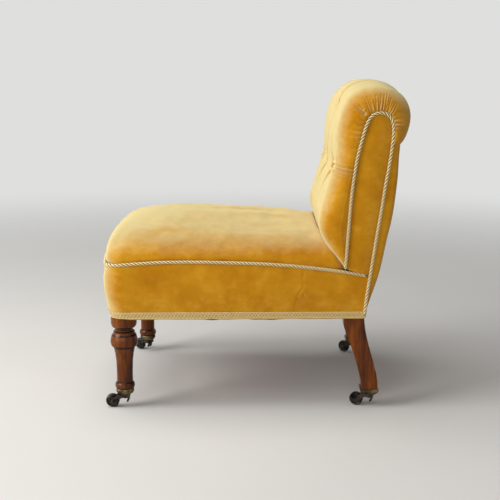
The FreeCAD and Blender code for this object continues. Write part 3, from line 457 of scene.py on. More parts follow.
def share_of(line, point):
    """Share of a line's length at its nearest point."""
    nearest = np.argmin(np.hypot(line[:, 0] - point[0], line[:, 1] - point[1]))
    run = run_of(line)
    return run[nearest] / run[-1]


def pad_rows():
    """Profile points and the facing points that they are drawn in to, row by row."""
    profile, facing = catmull(BACK_PROFILE), facing_line()
    shares = np.linspace(0, 1, PAD_ROWS)
    keys = [share_of(profile, p) for p, _ in PROFILE_TO_FACING]
    places = [share_of(facing, f) for _, f in PROFILE_TO_FACING]
    return at_shares(profile, shares), at_shares(facing, np.interp(shares, keys, places))


# from which height on, and over how much height, the ends and the top's drop change
END_FROM_Z, END_OVER_Z = 400.0, 210.0
DROP_FROM_Z, DROP_OVER_Z = 480.0, 220.0
# share of the way to the facing from which the cover turns in to its seam
TURN_IN = 0.86


def end_shape(z):
    """The end rounding of the pad at height z."""
    up = smoothstep((z - END_FROM_Z) / END_OVER_Z)
    return tuple(seat - less * up for seat, less in zip(END_AT_SEAT, END_LESS_AT_ROLL))


def pad_bow(x):
    """How far the face of the pad draws back towards its ends."""
    return PAD_BOW * (np.minimum(np.abs(x), PAD_BOW_REACH) / PAD_BOW_REACH) ** 2


def pad_section(p, f):
    """One row of the pad across the chair, from the centre to the left facing seam."""
    (py, pz), (fy, fz) = p, f
    start, wide, power = end_shape(pz)
    angle = np.linspace(0, math.pi / 2, END_COLUMNS)[1:]
    across = np.sin(angle) ** (2 / power)
    x = np.concatenate([np.linspace(0, start, FLAT_COLUMNS), start + (wide - start) * across])
    pull = np.concatenate([np.zeros(FLAT_COLUMNS), 1 - np.cos(angle) ** (2 / power)])
    pull = pull + (1 - pull) * pad_bow(x) / max(math.hypot(fy - py, fz - pz), LEAST_PULL)
    y = py + (fy - py) * pull
    z = pz + (fz - pz) * pull
    drop = np.interp(x, *zip(*TOP_DROP))
    z = z - drop * np.clip((pz - DROP_FROM_Z) / DROP_OVER_Z, 0, 1) * (1 - pull)
    seam = smoothstep((pull - TURN_IN) / (1 - TURN_IN))
    x = x - seam * (x - side_x(y) + PAD_SEAM_INSET)
    return np.stack([x, y, z], axis=1)


def pad_surface():
    """Grid of the inside back: rows up the front and over the roll, columns across."""
    rows = []
    for p, f in zip(*pad_rows()):
        half = pad_section(p, f)
        rows.append(np.vstack([half[:0:-1] * (-1, 1, 1), half]))
    return np.array(rows)


def pad_places(grid):
    """Distance of each point from the centre line and up the profile, along the cover."""
    middle = grid.shape[1] // 2
    step = np.linalg.norm(np.diff(grid, axis=1), axis=2)
    out = np.concatenate([np.zeros((len(grid), 1)), np.cumsum(step, axis=1)], axis=1)
    across = out - out[:, middle:middle + 1]
    up = run_of(grid[:, middle])[:, None] * np.ones(grid.shape[1])
    return across, up


def height_up(grid, z):
    """Distance up the profile of the point of the front at height z."""
    middle = grid[:, grid.shape[1] // 2]
    top = int(np.argmax(middle[:, 2]))
    return float(np.interp(z, middle[:top, 2], run_of(middle)[:top]))


def closed_pad(grid):
    """The pad's grid with the rows that close it over the frame and its two ends."""
    cols = grid.shape[1]
    x = np.linspace(-PAD_CORE_HALF, PAD_CORE_HALF, cols)
    core = [np.stack([x, np.full(cols, y), np.full(cols, z)], axis=1) for y, z in PAD_CORE]
    rows = len(grid) + len(core)
    points = np.concatenate([grid, np.array(core)]).reshape(-1, 3)
    faces = grid_faces(rows, cols, wrap_rows=True)
    faces.append(tuple(r * cols for r in range(rows)))
    faces.append(tuple(r * cols + cols - 1 for r in reversed(range(rows))))
    return points, faces


def from_button(grid, button):
    """Distance of each point from a button (distance across, height), along the cover."""
    across, up = pad_places(grid)
    return np.hypot(across - button[0], up - height_up(grid, button[1]))


def swollen_pad(grid):
    """The pad's cover drawn in by its buttons and swollen between them."""
    normal = outward(grid)
    across, up = pad_places(grid)
    held = np.zeros(grid.shape[:2], bool)
    for x, z in BUTTONS:
        far = np.hypot(across - x, up - height_up(grid, z))
        pull = BUTTON_PULL * np.exp(-((far / BUTTON_PULL_REACH) ** 2))
        grid = grid - normal * pull[:, :, None]
        held |= far < BUTTON_HELD
    held[:3] = held[-3:] = True
    held[:, :2] = held[:, -2:] = True
    points, faces = closed_pad(grid)
    pinned = np.ones(len(points), bool)
    pinned[:held.size] = held.ravel()
    moved = swollen(points, faces, pinned, pressure=3.0, cap=3.5, rounds=2)
    return moved[:held.size].reshape(grid.shape)


# folds on the end of the pad (Y, Z): start at the seam, end, depth, width
END_FOLDS = [
    ((244, 671.5), (216, 697), 4.6, 2.4), ((241, 682), (226, 696), 2.8, 1.9),
    ((311, 660.5), (323, 659), 3, 1.7), ((311.5, 652), (338, 650), 3.6, 2.1),
    ((312, 644), (330, 642.5), 3, 1.8), ((312, 636), (333, 632), 1.8, 2.2),
    ((242, 645.5), (222, 651), 2, 2.6), ((239, 634), (211, 638), 2.6, 2.6),
    ((236, 623), (214, 627), 2.2, 2.4), ((232, 612), (199, 615), 1.8, 2.8),
    ((245, 655), (229, 664), 2, 2.4), ((229, 596), (208, 599), 1.6, 2.4),
    ((223, 505), (206, 500), 1.2, 2.6),
]
# the same, from the outer button back to the seam
BUTTON_FOLDS = [
    ((179, 557.5), (224, 551), 4.2, 2.3), ((181, 551), (223, 541), 4.6, 2.4),
    ((182, 544), (221, 531.5), 3.4, 2.4),
]
GATHERS_INNER = [(257, 668), (266, 674.5), (278, 677.5), (291, 675.5), (302, 668)]
GATHERS_OUTER = [(240, 705), (260, 713), (284, 716), (304, 713), (326, 703)]
GATHERS = 14
GATHER_SEEDS = ((1, 5), (-1, 9))
TOP_BUTTON_Z = 600.0
END_FROM = 196.0
BESIDE_FROM = 150.0
# folds of each half of the face (distance across, height): start at a button, end, depth, width
FACE_FOLDS = [
    ((150, 550), (88, 476), 5.5, 4.2), ((0, 550), (52, 470), 3.6, 4.5),
    ((150, 550), (80, 680), 2.6, 5), ((0, 550), (70, 680), 2.6, 5),
]


def end_lift(y, z, seed):
    """Folds and gathers on one end of the pad."""
    rng = np.random.default_rng(seed)
    lift = np.zeros_like(y)
    for a, b, depth, width in END_FOLDS:
        lift += fold(y, z, a, b, depth, width, 0.9)
    inner = at_shares(catmull(GATHERS_INNER), (np.arange(GATHERS) + 0.5) / GATHERS)
    outer = at_shares(catmull(GATHERS_OUTER), (np.arange(GATHERS) + 0.5) / GATHERS)
    for a, b in zip(inner, outer):
        a = a + rng.normal(0, 0.7, 2)
        b = a + (b - a) * rng.uniform(0.65, 1.0) + rng.normal(0, 1.3, 2)
        lift += fold(y, z, a, b, rng.uniform(3.2, 5.2), rng.uniform(1.4, 1.8), 0.8)
    return lift


def button_lift(grid, across, up):
    """Hollows of the buttons and the folds that run out from them."""
    lift = np.zeros(across.shape)
    for button in BUTTONS:
        far = from_button(grid, button)
        hollow = np.exp(-np.maximum(far - BUTTON_FLAT, 0) / BUTTON_DENT)
        lift -= (BUTTON_HOLLOW - BUTTON_PULL) * hollow
    for a, b, depth, width in FACE_FOLDS:
        for side in (-1, 1):
            start, end = ((side * x, height_up(grid, z)) for x, z in (a, b))
            lift += fold(across, up, start, end, depth, width, 0.85)
    for x, z in BUTTONS:
        if z > TOP_BUTTON_Z:
            start = height_up(grid, z)
            for side in (-1, 0, 1):
                lift += fold(across, up, (x + 4 * side, start), (x + 16 * side, start + 34), 3.0, 2.4)
            lift += fold(across, up, (x, start), (x + 3, start + 190), 5.0, 4.5, 0.6)
    return lift


def pad_lift(grid):
    """How far folds, gathers and buttons move each point of the pad along its normal."""
    x, y, z = np.moveaxis(grid, 2, 0)
    lift = button_lift(grid, *pad_places(grid))
    for sign, seed in GATHER_SEEDS:
        on_side = x * sign > 0
        on_end = on_side * smoothstep((np.abs(x) - END_FROM) / 18.0)
        lift += on_end * end_lift(y, z, seed)
        beside = on_side * smoothstep((np.abs(x) - BESIDE_FROM) / 12.0)
        for a, b, depth, width in BUTTON_FOLDS:
            lift += beside * fold(y, z, a, b, depth, width, 0.35)
    edge = np.minimum(np.arange(x.shape[1]), np.arange(x.shape[1])[::-1])
    return lift * smoothstep(edge / 6.0)[None, :]


def back_pad(material):
    """Tufted inside back with its rolled top, and where its buttons sit."""
    grid = refine(refine(swollen_pad(pad_surface())))
    normal = outward(grid)
    grid = grid + normal * pad_lift(grid)[:, :, None]
    points, faces = cleaned(*closed_pad(grid), join=1e-4)
    pad = piece("back_pad", points, faces, material, "velvet")
    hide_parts("back_cover", "back_stuffing")
    seats = []
    for button in BUTTONS:
        far = from_button(grid, button)
        facing = normal[far < BUTTON_SEAT].mean(axis=0)
        seats.append((grid.reshape(-1, 3)[np.argmin(far)], facing / np.linalg.norm(facing)))
    return seats


# Buttons

# radius and height of a button's profile
BUTTON_PROFILE = [(0, 4.6), (3, 4.3), (6, 3.1), (8, 0.8), (8.4, -1.2), (7, -3), (0, -3.4)]
BUTTON_RINGS = 22
BUTTON_SIDES = 40
BUTTON_PLEATS = 13
BUTTON_SEAT = 16.0
BUTTON_STANDS = 0.6


def buttons(seats, material):
    """Covered buttons, domed, pleated underneath and drawn into the hollows of the back."""
    turn = np.linspace(0, 2 * math.pi, BUTTON_SIDES, endpoint=False)
    rings = []
    for radius, height in at_shares(catmull(BUTTON_PROFILE), np.linspace(0.01, 0.99, BUTTON_RINGS)):
        reach = radius * (1 + 0.02 * np.cos(turn * BUTTON_PLEATS) * smoothstep((3.0 - height) / 4.0))
        level = np.full(BUTTON_SIDES, height)
        rings.append(np.stack([reach * np.cos(turn), reach * np.sin(turn), level], axis=1))
    button = np.concatenate(rings)
    points, faces = [], []
    for seat, normal in seats:
        rotation = np.array(Vector(normal).to_track_quat("Z", "Y").to_matrix())
        faces += tube_faces(BUTTON_RINGS, BUTTON_SIDES, len(points))
        points += list(button @ rotation.T + seat + normal * BUTTON_STANDS)
    obj = piece("covered_buttons", *cleaned(points, faces, join=1e-4), material, "velvet")
    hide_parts("back_buttons")


# Seat

RING_COUNTS = (32, 9, 68, 7, 28)
RING_CORNER = 36
WALL_ROWS = 40
FOOT_RISE = 36.0
# radius of the dome's rear corners: at the side, its growth inwards, its share of the half width
DOME_REAR_RADIUS = 30.0
DOME_REAR_GROWTH = 0.32
DOME_REAR_SHARE = 0.75


def face_y(x, z):
    """Depth of the lower face of the back pad."""
    profile = catmull(BACK_PROFILE[:8])
    facing = catmull(FACING_FRONT)
    start, wide, power = end_shape(z)
    out = np.clip((np.abs(x) - start) / (wide - start), 0, 1)
    pull = 1 - (1 - out ** power) ** (1 / power)
    py = np.interp(z, profile[:, 1], profile[:, 0])
    fy = np.interp(z, facing[:, 1], facing[:, 0])
    return py + (fy - py) * pull + (1 - pull) * pad_bow(x)


def seat_wall():
    """Rings of the crowned seat from its seam up to the flat of the top."""
    sections = at_shares(catmull(DOME_SECTIONS), np.linspace(0, 1, WALL_ROWS), keys=[0, 1])
    rows = []
    for z, side, front, radius, rear, tilt in sections:
        above = z - SEAM_LEVEL
        seam = tuck(above, 5.0, 3.5)
        grown = DOME_REAR_RADIUS + DOME_REAR_GROWTH * side
        rear_radius = min(grown, DOME_REAR_SHARE * (DOME_REAR_HALF - side))
        half = half_outline(side + seam, front + seam, radius, rear, rear_radius, RING_COUNTS)
        x, y = both_halves(half).T
        foot = (cord_height(y) + 0.5 - SEAM_LEVEL) * (1 - smoothstep(above / FOOT_RISE))
        height = z + foot - math.tan(math.radians(tilt)) * (y - TILT_PIVOT)
        y = np.minimum(y, face_y(x, height) + 0.5)
        rows.append(np.stack([x, y, height], axis=1))
    return np.array(rows)


def seat_cushion(material):
    """Crowned top of the sprung seat, closed underneath."""
    wall = seat_wall()
    top = fill_ring(wall[-1], RING_CORNER, DOME_CROWN)
    low = fill_ring(wall[0], RING_CORNER, 0.0)
    points = [wall.reshape(-1, 3)]
    faces = grid_faces(*wall.shape[:2], wrap_cols=True)
    for grid in (top, low):
        faces += grid_faces(*grid.shape[:2], start=sum(len(p) for p in points))
        points.append(grid.reshape(-1, 3))
    points, faces = cleaned(np.concatenate(points), faces, join=1e-2)
    x, y, z = points.T
    pinned = (z < cord_height(y) + 7.0) | (y > face_y(x, z) - 6.0)
    points = swollen(points, faces, pinned, pressure=4.0, cap=2.5, rounds=30)
    cushion = piece("seat_cushion", points, faces, material, "velvet", finer=True)
    soften(cushion, height=0.7, spread=55.0, seed=3)
    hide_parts("seat_cover", "seat_stuffing", "seat_edge_roll")


SWELLS = 14
PHASES = 6.28


def soften(obj, height, spread, seed):
    """Slow uneven swell of hand-laid stuffing, along the normals."""
    mesh = obj.data
    count = len(mesh.vertices)
    co = np.zeros(count * 3)
    mesh.vertices.foreach_get("co", co)
    normal = np.zeros(count * 3, np.float32)
    mesh.vertices.foreach_get("normal", normal)
    co, normal = co.reshape(-1, 3), normal.reshape(-1, 3)
    rng = np.random.default_rng(seed)
    wave = np.zeros(count)
    for _ in range(SWELLS):
        direction = rng.normal(size=3)
        direction *= 2 * math.pi / (np.linalg.norm(direction) * spread * MM * rng.uniform(0.7, 2.2))
        wave += np.sin(co @ direction + rng.uniform(0, PHASES))
    co += normal * (wave * height * MM / 4)[:, None]
    mesh.vertices.foreach_set("co", co.ravel())
    mesh.update()


# Border

BORDER_COUNTS = (32, 10, 90, 1, 1)
BORDER_CORNER = sum(BORDER_COUNTS[:2])
BORDER_POINTS = sum(BORDER_COUNTS[:3])
BORDER_ROWS = 27
BORDER_THICKNESS = 6.0
BORDER_REAR_TOP = 318.0
# folds on the sides of the border (Y, Z): start, end, depth, width
SEAM_FOLDS = [
    ((114.5, 326), (115, 262), 1.4, 1.6), ((112, 283), (101, 266), 2, 1.9),
    ((115, 274), (123, 257), 1.8, 1.7), ((104, 262), (96, 246), 1.2, 2.2),
]


def rear_line_y(z):
    """Depth of the rear seam of the side at height z."""
    line = catmull(FACING_REAR[::-1])
    return np.interp(z, line[:, 1], line[:, 0])


def border_surface():
    """Outer face of the border, from one rear cord round the front to the other."""
    sections = catmull(BORDER_SECTIONS)
    rows = []
    for share in np.linspace(0, 1, BORDER_ROWS):
        z = BORDER_FOOT + (SEAM_LEVEL - BORDER_FOOT) * share
        seam = tuck(SEAM_LEVEL - z, 4.5, 3.5)
        side, front, radius = (np.interp(z, sections[:, 0], column) for column in sections.T[1:])
        half = half_outline(side + seam, front + seam, radius, REAR_Y, REAR_RADIUS, BORDER_COUNTS)
        half = half[:BORDER_POINTS]
        ahead = half[BORDER_CORNER, 1]
        t = np.linspace(0, 1, BORDER_POINTS - BORDER_CORNER)
        y = ahead + (rear_line_y(min(z, BORDER_REAR_TOP)) - 1.0 - ahead) * t
        half[BORDER_CORNER:] = np.column_stack([side_x(y) - side - seam, y])
        height = BORDER_FOOT + (cord_height(half[:, 1]) - 0.5 - BORDER_FOOT) * share
        rows.append(np.column_stack([half, height]))
    left = np.array(rows)
    return np.concatenate([left[:, :0:-1] * (-1, 1, 1), left], axis=1)


def seat_border(material):
    """Padded border between the braid and the seat cord."""
    grid = refine(border_surface())
    normal = outward(grid)
    x, y, z = np.moveaxis(grid, 2, 0)
    lift = np.zeros(x.shape)
    for a, b, depth, width in SEAM_FOLDS:
        lift += (np.abs(x) > 200) * fold(y, z, a, b, depth, width, 0.5)
    outer = grid + normal * lift[:, :, None]
    inner = grid - normal * BORDER_THICKNESS
    obj = piece("seat_border_cover", *shell(outer, inner), material, "velvet")
    soften(obj, height=0.5, spread=45.0, seed=8)
    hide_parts("seat_border")


# Side facings

FACING_ROWS = 90
FACING_COLUMNS = 19
FACING_INSET = 4.0
FACING_INNER_X = 233.0
FACING_BULGE = 5.5
FACING_BULGE_SHARE = 0.12
FACING_REAR_FOOT = (264.6, 313)
SEAM_DIP = (2.5, 2.5)


def facing_surface():
    """Face of the left facing panel between its two runs of cord."""
    front = catmull(FACING_FRONT + FACING_ARCH[:2])
    rear = catmull([FACING_REAR_FOOT] + FACING_REAR[6::-1] + FACING_ARCH[:0:-1])
    up = np.linspace(0, 1, FACING_ROWS)
    u = np.linspace(0, 1, FACING_COLUMNS)
    rows = []
    for f, r in zip(at_shares(front, up), at_shares(rear, up)):
        line = f + (r - f) * u[:, None]
        wide = np.hypot(*(r - f))
        bulge = min(FACING_BULGE, wide * FACING_BULGE_SHARE) * (1 - (2 * u - 1) ** 2)
        dip = tuck(u * wide, *SEAM_DIP) + tuck((1 - u) * wide, *SEAM_DIP)
        rows.append(np.column_stack([side_x(line[:, 0]) - FACING_INSET + bulge - dip, line]))
    return np.array(rows)


def side_facings(material):
    """Padded panels on the two sides of the back."""
    outer = facing_surface()
    inner = outer.copy()
    inner[:, :, 0] = FACING_INNER_X
    for sign, name in ((1, "left"), (-1, "right")):
        flip = (sign, 1, 1)
        obj = piece("facing_panel_" + name, *shell(outer * flip, inner * flip), material, "velvet")
        soften(obj, height=0.35, spread=40.0, seed=21)
        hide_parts("side_facing_" + name)


# Outside back

OUTSIDE_ROWS = 80
OUTSIDE_BOTTOM = 214.0
OUTSIDE_TOP = 615.0
OUTSIDE_THICKNESS = 4.5
# heights, and the radius of the rear edge and the inset of the side there
OUTSIDE_RADIUS = ([231, 260], [5.5, 12])
OUTSIDE_INSET = ([214, 231, 300], [6.2, 4, 1])
# fullness of the rear, from which height on and over how much height
OUTSIDE_FULL, FULL_FROM_Z, FULL_OVER_Z = 3.0, 240, 80


def outside_surface():
    """Face of the outside back from one rear cord round to the other."""
    table = catmull(OUTSIDE_BACK)
    rows = []
    for z in np.linspace(OUTSIDE_BOTTOM, OUTSIDE_TOP, OUTSIDE_ROWS):
        rear = np.interp(z, table[:, 0], table[:, 1])
        radius = np.interp(z, *OUTSIDE_RADIUS)
        inset = np.interp(z, *OUTSIDE_INSET)
        cy = rear - radius
        cx = rear_centre_x(cy, inset, radius)
        front = min(rear_line_y(z) + 0.5, cy - 1.0)
        y = np.linspace(front, cy + radius * SIDE_NY, 8, endpoint=False)
        side = np.column_stack([side_x(y) - inset - tuck(y - front, *SEAM_DIP), y])
        across = np.linspace(cx, 0, 48)
        rise = OUTSIDE_FULL * smoothstep((z - FULL_FROM_Z) / FULL_OVER_Z)
        full = rise * (1 - (across / cx) ** 4)
        half = np.vstack([
            side,
            arc(cx, cy, radius, SIDE_TURN, math.pi / 2, 9),
            np.column_stack([across, rear + full]),
        ])
        rows.append(np.column_stack([half, np.full(len(half), z)]))
    left = np.array(rows)
    return np.concatenate([left, left[:, -2::-1] * (-1, 1, 1)], axis=1)


def outside_back(material):
    """Padded outside back under the roll."""
    grid = outside_surface()
    inner = grid - outward(grid) * OUTSIDE_THICKNESS
    obj = piece("outside_back_panel", *shell(grid, inner), material, "velvet")
    soften(obj, height=0.6, spread=70.0, seed=14)
    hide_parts("outside_back_cover", "outside_back_wadding")


# Cords

STRANDS = 3
STRAND_SIDES = 9
# in cord radii: how far out a strand's centre runs, and its own radius
STRAND_OUT = 0.47
STRAND_RADIUS = 0.55
CORD_PITCH = 9.0
CORD_STEP = 1.5
SEAT_CORD_INSET = 2.6
SEAT_CORD_CORNER = 38.0
SEAT_CORD_COUNTS = (8, 7, 14, 1, 1)
SEAT_CORD_END = 255.0
FACING_CORD_OUT = 0.6


def rope(name, path, material, node, level, phase=0.0):
    """Laid cord of three strands along a path; level is a direction across the path."""
    line = catmull(path, 10)
    length = run_of(line)[-1]
    count = int(length / CORD_STEP)
    line = at_shares(line, np.linspace(0, 1, count))
    tangent = np.gradient(line, axis=0)
    tangent /= np.linalg.norm(tangent, axis=1, keepdims=True)
    side = np.cross(tangent, level)
    side /= np.linalg.norm(side, axis=1, keepdims=True)
    other = np.cross(tangent, side)

    def off(radius, angle):
        """Offset from the line at a radius and an angle round it."""
        return radius * CORD_RADIUS * (np.cos(angle) * side + np.sin(angle) * other)

    run = np.linspace(0, length, count)
    points, faces = [], []
    for k in range(STRANDS):
        lay = 2 * math.pi * (run / (CORD_PITCH * STRANDS) + k / STRANDS) + phase
        centre = line + off(STRAND_OUT, lay[:, None])
        round_strand = np.linspace(0, 2 * math.pi, STRAND_SIDES, endpoint=False)
        rings = [centre + off(STRAND_RADIUS, a) for a in round_strand]
        faces += tube_faces(count, STRAND_SIDES, len(points))
        points += list(np.stack(rings, axis=1).reshape(-1, 3))
    obj = piece(name, points, faces, material, "cord")
    grooves(obj, np.array(points), line)
    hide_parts(node)


def grooves(obj, points, line):
    """Stores how deep each point lies between the strands, from 0 outside to 1."""
    index = np.tile(np.repeat(np.arange(len(line)), STRAND_SIDES), STRANDS)
    away = np.linalg.norm(points - line[index], axis=1)
    store(obj, "groove", 1 - np.clip((away / CORD_RADIUS - 0.55) / 0.45, 0, 1))


def store(obj, name, values):
    """Gives the points of a mesh a named value each."""
    attribute = obj.data.attributes.new(name, "FLOAT", "POINT")
    attribute.data.foreach_set("value", values.astype(np.float32))


def seat_cord_path():
    """Seat cord from one rear cord round the front to the other."""
    inset = SEAT_CORD_INSET
    half = half_outline(inset, inset + 2.0, SEAT_CORD_CORNER, REAR_Y, REAR_RADIUS, SEAT_CORD_COUNTS)
    half = half[:sum(SEAT_CORD_COUNTS[:3])]
    half = half[half[:, 1] < SEAT_CORD_END - 5.0]
    half = np.vstack([half, (side_x(SEAT_CORD_END) - inset, SEAT_CORD_END)])
    left = np.column_stack([half, cord_height(half[:, 1])])
    return np.vstack([left[:0:-1] * (-1, 1, 1), left])


def facing_cord_path():
    """Left facing cord from the seat cord up over the arch and down to the braid."""
    line = [(208.9, 330.0)] + FACING_FRONT[1:] + FACING_ARCH + FACING_REAR[:-1] + [(254.0, 226.0)]
    return np.array([(side_x(y) + FACING_CORD_OUT, y, z) for y, z in line])


# Braid

BRAID_COUNTS = (60, 30, 120, 12, 60)
BRAID_STEP = 1.6
BRAID_ROWS = 19
BRAID_CORNER = 36.0
# lower and upper edge: inset at the side and at the front, depth of the rear
BRAID_LOW = (6.0, 14.0, 256.5)
BRAID_HIGH = (4.0, 9.5, REAR_Y)
BRAID_OVERLAP = 0.3
BRAID_STANDS = 0.7
# pitch of the scrolls and of the edge cords' twist
SCROLL = 15.0
EDGE_TWIST = 3.2
# in shares of the width: places and spread of the edge cords, swing and spread of the scrolls
EDGE_CORDS = (0.07, 0.93)
EDGE_SPREAD = 0.055
SCROLL_SWING = 0.26
SCROLL_SPREAD = 0.075
EDGE_HEIGHT = 1.25
SCROLL_HEIGHT = 0.85


def braid_ring(side_inset, front_inset, rear_y, counts=BRAID_COUNTS):
    """Closed plan line of one edge of the braid, its first point repeated."""
    half = half_outline(side_inset, front_inset, BRAID_CORNER, rear_y, REAR_RADIUS, counts)
    ring = both_halves(half)
    return np.vstack([ring, ring[:1]])


def braid(material):
    """Woven braid round the foot of the upholstery, with corded edges and scrolls."""
    low = braid_ring(*BRAID_LOW)
    length = run_of(low)[-1]
    count = int(length / BRAID_STEP)
    shares = np.linspace(0, 1, count, endpoint=False)
    ring = at_shares(low, shares)
    top = at_shares(braid_ring(*BRAID_HIGH), shares)
    ahead = np.roll(ring, -1, axis=0) - np.roll(ring, 1, axis=0)
    out = np.column_stack([ahead[:, 1], -ahead[:, 0]])
    out /= np.linalg.norm(out, axis=1, keepdims=True)
    run = shares * length
    scroll = length / round(length / SCROLL)

    def row(t, height, stands):
        """Ring at share t of the width, at a height and so far out of the border."""
        plan = ring + (top - ring) * t + out * np.reshape(stands, (-1, 1))
        return np.column_stack([plan, np.full(count, height)])

    width = GIMP_TOP - SEAT_BOTTOM
    face = np.linspace(0, 1, BRAID_ROWS)
    raised = [braid_relief(t, run, scroll) for t in face]
    foot, high = SEAT_BOTTOM - BRAID_OVERLAP, width + 2 * BRAID_OVERLAP
    rows = [row(t, foot + high * t, BRAID_STANDS + r) for t, r in zip(face, raised)]
    rows += [row(t, SEAT_BOTTOM + width * t, 0.1) for t in (0.97, 0.03)]
    faces = grid_faces(len(rows), count, wrap_cols=True, wrap_rows=True)
    obj = piece("gimp", np.concatenate(rows), faces, material, "gimp")
    store(obj, "along", np.tile(run, len(rows)))
    store(obj, "raised", np.concatenate(raised + [raised[-1], raised[0]]))
    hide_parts("gimp_braid")


def braid_relief(t, run, scroll):
    """Height of the braid's face at share t of its width: corded edges and two scrolls."""
    edge = max(math.exp(-((t - place) / EDGE_SPREAD) ** 2) for place in EDGE_CORDS)
    twist = 0.85 + 0.15 * np.sin(2 * math.pi * run / EDGE_TWIST)
    sway = SCROLL_SWING * np.sin(2 * math.pi * run / scroll)
    ridge = sum(np.exp(-((t - 0.5 + s) / SCROLL_SPREAD) ** 2) for s in (-sway, sway))
    return EDGE_HEIGHT * edge * twist + SCROLL_HEIGHT * np.minimum(ridge, 1.0)


# Cloth under the seat

CLOTH_HALF = 243.0
LEG_INNER = 197.0
FRONT_LEG_REAR = -257.0
REAR_LEG_FRONT = 204.0
# evenly divided spans of the cloth: from, to, number of points
CLOTH_ACROSS = [(-CLOTH_HALF, -LEG_INNER, 6), (-LEG_INNER, LEG_INNER, 50), (LEG_INNER, CLOTH_HALF, 6)]
CLOTH_ALONG = [(-322, FRONT_LEG_REAR, 8), (FRONT_LEG_REAR, REAR_LEG_FRONT, 58), (REAR_LEG_FRONT, 246, 6)]
CLOTH_THICKNESS = 0.5
CLOTH_INSET = 13.0
CLOTH_BOW = 10.0
CLOTH_SAG = 3.4
CLOTH_HANGS = 0.3


def cloth_grid(xs, ys):
    """The cloth's places: bowed at the front, sagging inside, its sides slack at the hem."""
    x, y = np.meshgrid(xs, ys)
    x = x * np.clip((side_x(y) - CLOTH_INSET) / CLOTH_HALF, 0, 1)
    y = y - CLOTH_BOW * (1 - (x / CLOTH_HALF) ** 2) * smoothstep((-200 - y) / 120)
    inside = (1 - (x / CLOTH_HALF) ** 4) * (1 - np.clip(np.abs(y + 38) / 285, 0, 1) ** 4)
    wave = 0.5 * np.sin(x / 23.0 + 1.3) * np.sin(y / 31.0) + 0.35 * np.sin(y / 12.0 + x / 40.0)
    slack = smoothstep((y + 205.0) / 40.0) * smoothstep((120.0 - y) / 40.0)
    hem = slack * (2.6 + 1.3 * np.sin(y / 19.0) + 0.6 * np.sin(y / 7.3 + 1.0)) * (np.abs(x) > 225)
    z = SEAT_BOTTOM - CLOTH_HANGS - CLOTH_SAG * inside + wave * (0.4 + inside) - hem
    return np.stack([x, y, z], axis=2)


def bottoming(material):
    """Dust cloth tacked under the rails, sagging a little between them."""
    xs, ys = (np.unique(np.concatenate([np.linspace(*span) for span in spans]))
              for spans in (CLOTH_ACROSS, CLOTH_ALONG))
    cols = len(xs)
    kept = []
    for face in grid_faces(len(ys), cols):
        r, c = divmod(face[0], cols)
        beside = max(xs[c], -xs[c + 1]) >= LEG_INNER
        at_leg = beside and (ys[r + 1] <= FRONT_LEG_REAR or ys[r] >= REAR_LEG_FRONT)
        if not at_leg:
            kept.append(face)
    points = cloth_grid(xs, ys).reshape(-1, 3)
    count = len(points)
    faces = kept + [tuple(i + count for i in reversed(f)) for f in kept] + rim_faces(kept, count)
    both = np.concatenate([points, points - (0, 0, CLOTH_THICKNESS)])
    obj = piece("dust_cloth", *cleaned(both, faces), material, "bottom_cloth")
    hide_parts("bottoming_cloth")


def rim_faces(faces, count):
    """Walls between a sheet and its copy, count points on, along their open edges."""
    edges = dict.fromkeys(e for f in faces for e in zip(f, f[1:] + f[:1]))
    return [(b, a, a + count, b + count) for a, b in edges if (b, a) not in edges]


# Materials


def rgb(red, green, blue):
    """Linear colour from 0 to 255 screen values."""
    def linear(v):
        v /= 255.0
        return v / 12.92 if v <= 0.04045 else ((v + 0.055) / 1.055) ** 2.4
    return (linear(red), linear(green), linear(blue), 1.0)


def new_material(name):
    """Empty material and its node tree, Principled shader and object coordinates."""
    material = bpy.data.materials.new(name)
    material.use_nodes = True
    tree = material.node_tree
    shader = tree.nodes["Principled BSDF"]
    place = tree.nodes.new("ShaderNodeTexCoord").outputs["Object"]
    return material, tree, shader, place


def give(tree, socket, value):
    """Links an output to a socket, or sets the socket's constant."""
    if isinstance(value, bpy.types.NodeSocket):
        tree.links.new(value, socket)
    else:
        socket.default_value = value


def settle(tree, node, **sockets):
    """Gives the named sockets of a node their constants and links."""
    for key, value in sockets.items():
        give(tree, node.inputs[key.replace("_", " ")], value)
    return node


def add(tree, kind, settings=None, **sockets):
    """New node with its settings, constants and links."""
    node = tree.nodes.new("ShaderNode" + kind)
    for key, value in (settings or {}).items():
        setattr(node, key, value)
    return settle(tree, node, **sockets)


def operate(tree, operation, *values, kind="Math"):
    """Node that works on values in order."""
    node = add(tree, kind, {"operation": operation})
    for socket, value in zip(node.inputs, values):
        give(tree, socket, value)
    return node.outputs["Value"]


def stretched(tree, place, x, y, z):
    """Coordinates scaled apart along the three axes."""
    return add(tree, "Mapping", Vector=place, Scale=(x, y, z)).outputs["Vector"]


def noise(tree, place, scale, detail=2.0, rough=0.5):
    """Cloudy noise from 0 to 1."""
    node = add(tree, "TexNoise", Vector=place, Scale=scale, Detail=detail, Roughness=rough)
    return node.outputs["Fac"]


def ramp(tree, factor, *stops):
    """Colour ramp from (place, colour) stops."""
    node = add(tree, "ValToRGB", Fac=factor)
    elements = node.color_ramp.elements
    while len(elements) < len(stops):
        elements.new(0.5)
    for element, (place, colour) in zip(elements, stops):
        element.position = place
        element.color = colour
    return node.outputs["Color"]


def grey(value):
    """Linear grey."""
    return (value, value, value, 1.0)


def stored(tree, name):
    """Value that the mesh stores under a name."""
    return add(tree, "Attribute", {"attribute_name": name}).outputs["Fac"]


def mix(tree, factor, a, b, kind="MIX"):
    """Mix of two colours."""
    node = add(tree, "Mix", {"data_type": "RGBA", "blend_type": kind})
    for index, value in zip((0, 6, 7), (factor, a, b)):
        give(tree, node.inputs[index], value)
    return node.outputs[2]


